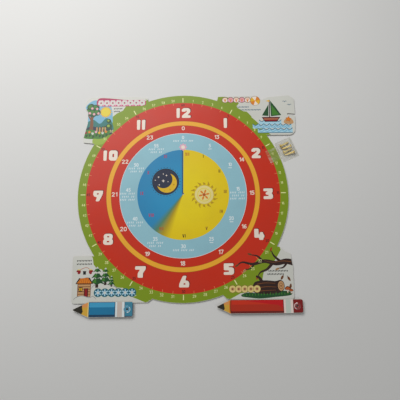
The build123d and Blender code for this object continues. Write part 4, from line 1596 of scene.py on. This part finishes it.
@dataclass
class PencilHand:
    """A clock hand printed as a pencil, on its board, with its point towards -X."""

    inks: Inks
    name: str
    slot: str
    pivot: Point
    length: float
    width: float
    lead: float
    wood: float
    ferrule_start: float
    ferrule_end: float
    bulge: float
    colours: PencilColours
    pivot_inset: float = 7.0
    bleed: float = 2.0
    band_gap: float = 0.8

    def build(self) -> None:
        """Prints the hand on its face sheet."""
        node = f"{self.name}_face_sheet"
        sheet = Printing(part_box(node)[1].z / MM, top_loops(node), part=f"{self.name}_print")
        x0, y0 = self.pivot
        end, half = x0 + self.pivot_inset, self.width / 2
        tip = end - self.length
        inks = self.colours

        def band(ink: Ink, first: float, last: float, low: float = -1.2, high: float = 1.2) -> None:
            """Prints a band across the hand.

            Args:
                ink: Its ink.
                first: Where it starts, from the tip.
                last: Where it ends, from the tip.
                low: Its lower edge, as a share of the hand's half width.
                high: Its upper edge, as a share of the hand's half width.
            """
            sheet.lay(ink, rectangle(tip + first, y0 + low * half, tip + last, y0 + high * half))

        def cap(ink: Ink, first: float, reach: float) -> None:
            """Prints a rounded end, as wide as the hand, towards the point.

            Args:
                ink: Its ink.
                first: Its middle, from the tip.
                reach: How far it bulges.
            """
            sheet.lay(ink, ellipse(tip + first, y0, reach, half * 1.12, 0, 40))

        band(Ink.WOOD, -self.bleed, self.wood + 1)
        band(Ink.WOOD_LIGHT, -self.bleed, self.wood + 1, 0.3)
        band(inks.paint_edge, self.wood - 0.9, self.wood)
        if self.bulge:
            cap(inks.paint_edge, self.wood + self.bulge, self.bulge + 0.5)
            cap(inks.dark, self.wood + self.bulge + 0.1, self.bulge)
        band(inks.dark, self.wood + self.bulge, self.ferrule_start)
        body = self.wood + 0.7 + self.bulge
        paint_end, outer_end = self.ferrule_start - self.band_gap, self.length + self.bleed
        if self.bulge:
            sheet.lay(inks.middle, ellipse(tip + body, y0 + 0.14 * half, self.bulge, half * 0.8, 0, 40))
        band(inks.middle, body, paint_end, -0.66, 0.94)
        band(inks.light, body, paint_end, 0.3, 0.9)
        if inks.rich:
            right = tip + paint_end
            wedge = ((tip + body + 14, 0.9), (right, 0.9), (right, -0.3))
            wedge += ((right - 6, 0.2), (right - 18, 0.38), (right - 34, 0.66))
            sheet.lay(inks.rich, [(x, y0 + y * half) for x, y in wedge])
        band(inks.tin, self.ferrule_start, self.ferrule_end)
        wide = self.ferrule_end - self.ferrule_start
        for first, last in ((0.0, 0.2), (0.74, 1.0)):
            band(inks.tin_edge, self.ferrule_start + first * wide, self.ferrule_start + last * wide)
        band(inks.rubber, self.ferrule_end, outer_end)
        band(inks.dark, self.ferrule_end, self.ferrule_end + 0.6)
        band(inks.dark, self.ferrule_end, outer_end, -1.2, -0.84)
        band(inks.dark, self.length - 1.0, outer_end, -1.2, 0.8)
        jag = ((-0.2, 1.1), (-0.3, 0.4), (0.2, 0.0), (0.8, -0.25), (-0.4, -0.45), (-2.0, -1.1))
        lead = [(tip + self.lead + a, y0 + b * half) for a, b in jag]
        sheet.lay(Ink.LEAD, [(tip - self.bleed, y0 + half), *lead, (tip - self.bleed, y0 - half)])
        for piece in sheet.build(self.inks).values():
            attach(piece, self.name)
            log.info("hand print %s: %d faces, %.1f mm to %.1f mm", piece.name, len(piece.data.polygons), tip, end)


# ---------------------------------------------------------------- turned metal
def even(first: float, last: float, count: int) -> list[float]:
    """Even steps from the first to the last."""
    return [first + (last - first) * n / (count - 1) for n in range(count)]


def lathe(name: str, section: Sequence[Point], matrix: Matrix, count: int) -> bpy.types.Object:
    """Turns a closed section around the local Z axis.

    Args:
        name: The piece's name.
        section: Radius and height of its points, in millimetres, around the section.
        matrix: Where it stands, in metres.
        count: How many steps around it has.

    Returns:
        The piece.
    """
    turns = [2 * math.pi * n / count for n in range(count)]
    scaled = matrix @ Matrix.Scale(MM, 4)
    points = [scaled @ Vector((r * math.cos(a), r * math.sin(a), z)) for a in turns for r, z in section]
    size = len(section)
    faces = []
    for n in range(count):
        here, after = n * size, (n + 1) % count * size
        for k in range(size):
            faces.append((here + k, after + k, after + (k + 1) % size, here + (k + 1) % size))
    mesh = bpy.data.meshes.new(name)
    mesh.from_pydata(points, [], faces)
    mesh.validate()
    mesh.update()
    mesh.shade_smooth()
    mesh.set_sharp_from_angle(angle=math.radians(50))
    return place(name, mesh)


@dataclass
class Eyelet:
    """A lacquered eyelet with a rolled flange above and a clinched foot below."""

    node: str
    body: str
    slot: str
    finish: Lacquer
    bore: float = 1.25
    barrel: float = 1.7
    flange: float = 4.1
    clinch: float = 3.0
    height: float = 2.0
    seat: float = 1.6
    foot: float = 0.3

    def build(self) -> None:
        """Turns the eyelet in its CAD node's place."""
        low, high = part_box(self.node)
        middle = (low + high) / 2
        # The section runs out under the flange, in over its crown, down the bore and round the clinched foot.
        crown = (self.flange + self.bore) / 2 + 0.15
        arch = [
            (crown + (self.flange - crown) * math.sin(a), self.seat + 0.4 * math.cos(a) ** 0.8)
            for a in even(1.5, 0.05, 8)
        ]
        dish = [
            (crown - (crown - self.bore) * math.sin(a), self.height - 0.55 * (1 - math.cos(a)))
            for a in even(0.15, 1.5, 7)
        ]
        section = [
            (self.barrel, self.seat),
            (self.flange - 0.25, self.seat),
            *arch,
            *dish,
            (self.bore, 0.35),
            (self.bore + 0.1, 0.08),
            (self.bore + 0.4, 0.0),
            (self.clinch - 0.3, 0.0),
            (self.clinch - 0.05, 0.1),
            (self.clinch, 0.2),
            (self.clinch - 0.12, self.foot),
            (self.barrel, self.foot),
        ]
        matrix = Matrix.Translation((middle.x, middle.y, low.z))
        piece = lathe(f"{self.node}_rolled", section, matrix, 64)
        piece.data.materials.append(self.finish.make())
        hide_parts(self.node)
        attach(piece, self.body)
        log.info("eyelet %s at %.1f, %.1f mm", piece.name, middle.x / MM, middle.y / MM)


# ---------------------------------------------------------------- sachet
def crinkle(x: float, y: float, z: float) -> float:
    """The height of sharp-bottomed folds at a point, from 0 to 1."""
    return abs(noise.noise(Vector((x, y, z))))


def eased_step(share: float) -> float:
    """Goes softly from 0 to 1 as the share does."""
    share = min(max(share, 0), 1)
    return share * share * (3 - 2 * share)


def rounded(u: float, v: float, whole: Point, radius: float) -> Point:
    """Draws a point of a rectangle in, so that its corners are round.

    Args:
        u: The point's first coordinate, from the middle.
        v: The point's second coordinate.
        whole: The rectangle's sides.
        radius: The corners' radius.

    Returns:
        The point.
    """
    over = [max(abs(c) - side / 2 + radius, 0) for c, side in zip((u, v), whole, strict=True)]
    share = min(1.0, radius / (math.hypot(*over) or 1))
    return tuple(math.copysign(abs(c) - o * (1 - share), c) for c, o in zip((u, v), over, strict=True))


@dataclass
class Sachet:
    """The film sachet with its four split pins."""

    centre: Point = (133.2462, 56.6187)
    angle: float = 23.0215
    pouch: Point = (19.353, 24.553)
    whole: Point = (22.553, 27.753)
    corner: float = 1.4
    film: float = 0.15
    seal: float = 0.13
    skin_depth: float = 0.06
    height: float = 5.45
    clearance: float = 0.02
    slope: float = 2.3
    deepest_fold: float = 0.9
    pin_level: float = 2.75
    pitch: float = 4.5
    cap_radius: float = 2.5
    cap_height: float = 1.3
    leg_length: float = 12.0
    pin_sheet: float = 0.3
    tilt: float = 9.29
    twists: tuple[float, ...] = (-5.0, 3.0, -4.0, 6.0)
    shifts: tuple[float, ...] = (0.5, -0.4, 0.3, -0.6)
    flap_run: tuple[float, float, float, float] = (-10.28, -11.28, -12.18, -27.18)
    flap_levels: Point = (0.38, 1.47)
    flap_width: float = 17.0
    brass: BrassSheet = BrassSheet()

    def axes(self) -> Matrix:
        """Where the sachet's own axes are, outwards and round the rim."""
        spin = Matrix.Rotation(math.radians(self.angle), 4, "Z")
        return Matrix.Translation((self.centre[0] * MM, self.centre[1] * MM, 0)) @ spin

    def build(self) -> None:
        """Makes the caps and the films, and dresses the legs and the back."""
        brass = self.brass.make()
        dress("split_pin_legs", brass)
        for n in range(len(self.twists)):
            cap = self.cap(n, brass)
            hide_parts("split_pin_caps")
            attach(cap, "sachet")
            log.info("pin cap %s: %d faces", cap.name, len(cap.data.polygons))
        self.front()
        self.flap()
        dress("sachet_back_film", ClearFilm("clear_film_back", haze=0.03, crease=0.03).make())

    def cap(self, n: int, brass: bpy.types.Material) -> bpy.types.Object:
        """Presses one pin's cap.

        Args:
            n: The pin's place in the row.
            brass: Its material.

        Returns:
            The cap.
        """
        radius = (self.cap_radius**2 + self.cap_height**2) / (2 * self.cap_height)
        centre = radius - self.cap_height
        wide = math.atan2(self.cap_radius, centre)

        def arc(reach: float, angles: Sequence[float]) -> Outline:
            """Points of a dome at angles from its top."""
            return [(reach * math.sin(a), centre - reach * math.cos(a)) for a in angles]

        # The section runs out over the dome, round its rim and back in under it.
        rim = self.cap_radius
        section = arc(radius, even(0.02, wide * 0.97, 9))
        section += [(rim, -0.02), (rim - 0.1, 0.0), (rim - 0.35, -0.04)]
        section += arc(radius - self.pin_sheet, even(wide * 0.86, 0.03, 7))
        along = (self.leg_length - self.cap_height) / 2 * (-1) ** n + self.shifts[n]
        across = (n + 0.5 - len(self.twists) / 2) * self.pitch
        at = Matrix.Translation(Vector((along, across, self.pin_level)) * MM)
        spin = Matrix.Rotation(math.radians(self.twists[n] + 180 * (n + 1)), 4, "Z")
        lean = Matrix.Rotation(math.radians(self.tilt), 4, "Y")
        lay = Matrix.Rotation(math.radians(90), 4, "Y")
        piece = lathe(f"split_pin_cap_{n + 1}", section, self.axes() @ at @ spin @ lean @ lay, 40)
        piece.data.materials.append(brass)
        return piece

    def skin(
        self, name: str, across: int, along: int, at: Callable[[float, float], Vector], finish: ClearFilm
    ) -> bpy.types.Object:
        """Makes a film from a function over its sheet.

        Args:
            name: The piece's name.
            across: How many steps it has one way.
            along: How many steps it has the other way.
            at: Gives a point of the film in metres, from two shares of the sheet.
            finish: Its finish.

        Returns:
            The film, with its real thickness.
        """
        points = [at(i / across, j / along) for i in range(across + 1) for j in range(along + 1)]
        step = along + 1
        faces = [
            (i * step + j, (i + 1) * step + j, (i + 1) * step + j + 1, i * step + j + 1)
            for i in range(across)
            for j in range(along)
        ]
        mesh = closed_sheet(name, points, faces, self.skin_depth, [0] * len(faces))
        mesh.shade_smooth()
        mesh.set_sharp_from_angle(angle=math.radians(60))
        mesh.materials.append(finish.make())
        piece = place(name, mesh)
        piece.visible_shadow = False
        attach(piece, "sachet")
        return piece

    def front(self) -> None:
        """Forms the front film over the pins, flat at its seal and crinkled over them."""
        axes = self.axes()

        def at(i: float, j: float) -> Vector:
            """A point of the front film.

            Args:
                i: The share of the way across the sheet.
                j: The share of the way along it.

            Returns:
                The point, in metres.
            """
            u, v = rounded((i - 0.5) * self.whole[0], (j - 0.5) * self.whole[1], self.whole, self.corner)
            edge = min(self.pouch[0] / 2 - abs(u), self.pouch[1] / 2 - abs(v))
            rise = eased_step(edge / self.slope)
            fold = crinkle(u * 0.3, v * 0.16, 3.1) + 0.2 * crinkle(u * 0.6, v * 0.5, 8.4)
            sunk = self.deepest_fold * min(fold, 0.9) * min(max(edge - 1, 0), 1)
            crown = self.height - self.clearance - sunk
            ripple = 0.1 * crinkle(u * 0.4, v * 0.4, 1.7) * (1 - rise)
            level = self.film + self.seal + (crown - self.seal) * rise + ripple
            return axes @ (Vector((u, v, level)) * MM)

        finish = ClearFilm("clear_film_front", haze=0.06, crease=0.08)
        piece = self.skin("sachet_front_crinkled", 76, 92, at, finish)
        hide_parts("sachet_front_film")
        log.info("front film: %d faces", len(piece.data.polygons))

    def flap(self) -> None:
        """Lays the flap from the seal up over the dial's edge."""
        axes = self.axes()
        start, climb, crest, end = self.flap_run
        low, high = self.flap_levels

        def at(i: float, j: float) -> Vector:
            """A point of the flap.

            Args:
                i: The share of the way outwards over the dial.
                j: The share of the way along the seal.

            Returns:
                The point, in metres.
            """
            u, v = start + (end - start) * i, (0.5 - j) * self.flap_width
            climbed = eased_step((climb - u) / (climb - crest))
            level = low + (high - low) * climbed + 0.16 * crinkle(u * 0.24, v * 0.34, 5.0)
            return axes @ (Vector((u, v, level)) * MM)

        finish = ClearFilm("clear_film_flap", haze=0.15, crease=0.12)
        piece = self.skin("sachet_flap_crinkled", 46, 40, at, finish)
        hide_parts("sachet_flap")
        log.info("flap: %d faces", len(piece.data.polygons))


# ---------------------------------------------------------------- studio
@dataclass
class Studio:
    """The floor, the lamps and the camera."""

    eye: Triple = (20.38, -78.35, 407.1)
    right: Triple = (0.99994, -0.01124, -0.00055)
    up: Triple = (0.01117, 0.9853, 0.17049)
    back: Triple = (-0.00138, -0.17048, 0.98536)
    lens: float = 29.7
    table_half: float = 1.6
    table_level: float = -0.0002

    def build(self) -> None:
        """Sets up the floor, the light and the camera."""
        scene = bpy.context.scene
        scene.view_settings.view_transform = "Standard"
        mesh = bpy.data.meshes.new("table_top")
        half = self.table_half
        corners = [(x, y, self.table_level) for x, y in rectangle(-half, -half, half, half)]
        mesh.from_pydata(corners, [], [(0, 1, 2, 3)])
        mesh.materials.append(PaintedTable().make())
        place("table_top", mesh)
        room = Graph("soft_room", room=True)
        seen = room.node("ShaderNodeLightPath", {}, {}).outputs
        straight, mirrored = Value(room, seen["Is Camera Ray"]), Value(room, seen["Is Glossy Ray"])
        scene.world = room.finish(color=(0.96, 0.98, 1.0, 1), strength=0.22 + 0.5 * straight + 0.3 * mirrored)
        self.lamp("window_light", (-0.3, 0.52, 0.66), wide=0.8, deep=0.5, power=6.6)
        self.lamp("side_fill", (0.75, -0.6, 0.8), wide=0.5, deep=0.5, power=0.8)
        camera = bpy.data.objects.new("camera", bpy.data.cameras.new("camera"))
        scene.collection.objects.link(camera)
        camera.data.sensor_fit = "HORIZONTAL"
        camera.data.sensor_width = 36.0
        camera.data.lens = self.lens
        camera.data.clip_start = 0.01
        axes = Matrix((self.right, self.up, self.back)).transposed().to_4x4()
        camera.matrix_world = Matrix.Translation(Vector(self.eye) * MM) @ axes
        scene.camera = camera
        log.info("camera at %s mm", self.eye)

    @staticmethod
    def lamp(name: str, at: Triple, wide: float, deep: float, power: float) -> None:
        """Hangs a soft rectangular lamp, facing the middle of the clock.

        Args:
            name: Its name.
            at: Where it hangs.
            wide: Its width.
            deep: Its depth.
            power: Its power in watts.
        """
        data = bpy.data.lights.new(name, "AREA")
        data.shape = "RECTANGLE"
        data.size, data.size_y, data.energy = wide, deep, power
        lamp = bpy.data.objects.new(name, data)
        lamp.location = at
        lamp.rotation_euler = (-Vector(at)).to_track_quat("-Z", "Y").to_euler()
        bpy.context.scene.collection.objects.link(lamp)


def dress_boards() -> None:
    """Gives the boards and the face sheets their bare card and paper."""
    board, paper = GreyBoard().make(), CoatedPaper().make()
    for ending, finish in (("_board", board), ("_face_sheet", paper)):
        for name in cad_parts:
            if name.endswith(ending):
                dress(name, finish)
                log.info("card %s", name)


def main() -> None:
    """Builds the clock and its scene."""
    logging.basicConfig(level=logging.INFO, format="%(name)s: %(message)s")
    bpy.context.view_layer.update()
    inks = Inks()
    dress_boards()
    Dial(inks).build()
    hour_pivot, minute_pivot = (-66.2, -137.9), (134.2, -136.4)
    PencilHand(
        inks,
        "hour_hand",
        "printed_hour_hand",
        hour_pivot,
        length=71.0,
        width=17.4,
        lead=11.2,
        wood=18.6,
        ferrule_start=50.0,
        ferrule_end=60.8,
        bulge=0.0,
        colours=PencilColours(
            light=Ink.BLUE_LIGHT,
            rich=None,
            middle=Ink.BLUE_MID,
            dark=Ink.BLUE_DARK,
            rubber=Ink.BLUE_RUBBER,
            tin=Ink.BLUE_TIN,
            tin_edge=Ink.BLUE_TIN_EDGE,
            paint_edge=Ink.WOOD_EDGE,
        ),
    ).build()
    PencilHand(
        inks,
        "minute_hand",
        "printed_minute_hand",
        minute_pivot,
        length=101.5,
        width=15.8,
        lead=8.3,
        wood=15.1,
        ferrule_start=78.6,
        ferrule_end=89.6,
        bulge=1.4,
        colours=PencilColours(
            light=Ink.RED_LIGHT,
            rich=Ink.RED_RICH,
            middle=Ink.RED_MID,
            dark=Ink.RED_DARK,
            rubber=Ink.RED_RUBBER,
            tin=Ink.RED_TIN,
            tin_edge=Ink.RED_TIN_EDGE,
            paint_edge=Ink.ORANGE,
        ),
    ).build()
    # Each pale colour serves its lacquer's random scuffs and its painted highlight.
    blue, pale_blue = linear(70, 142, 168), linear(240, 252, 255)
    red, pale_red = linear(134, 18, 16), linear(255, 232, 228)
    lacquer = Lacquer("blue_lacquer", blue, pale_blue, hour_pivot, turn=-22, bead_turn=-80)
    Eyelet("hour_hand_eyelet", "hour_eyelet", "blue_lacquer", lacquer).build()
    lacquer = Lacquer("red_lacquer", red, pale_red, minute_pivot, turn=188, bead_turn=98)
    Eyelet("minute_hand_eyelet", "minute_eyelet", "red_lacquer", lacquer).build()
    Sachet().build()
    Studio().build()


if __name__ == "__main__":
    main()
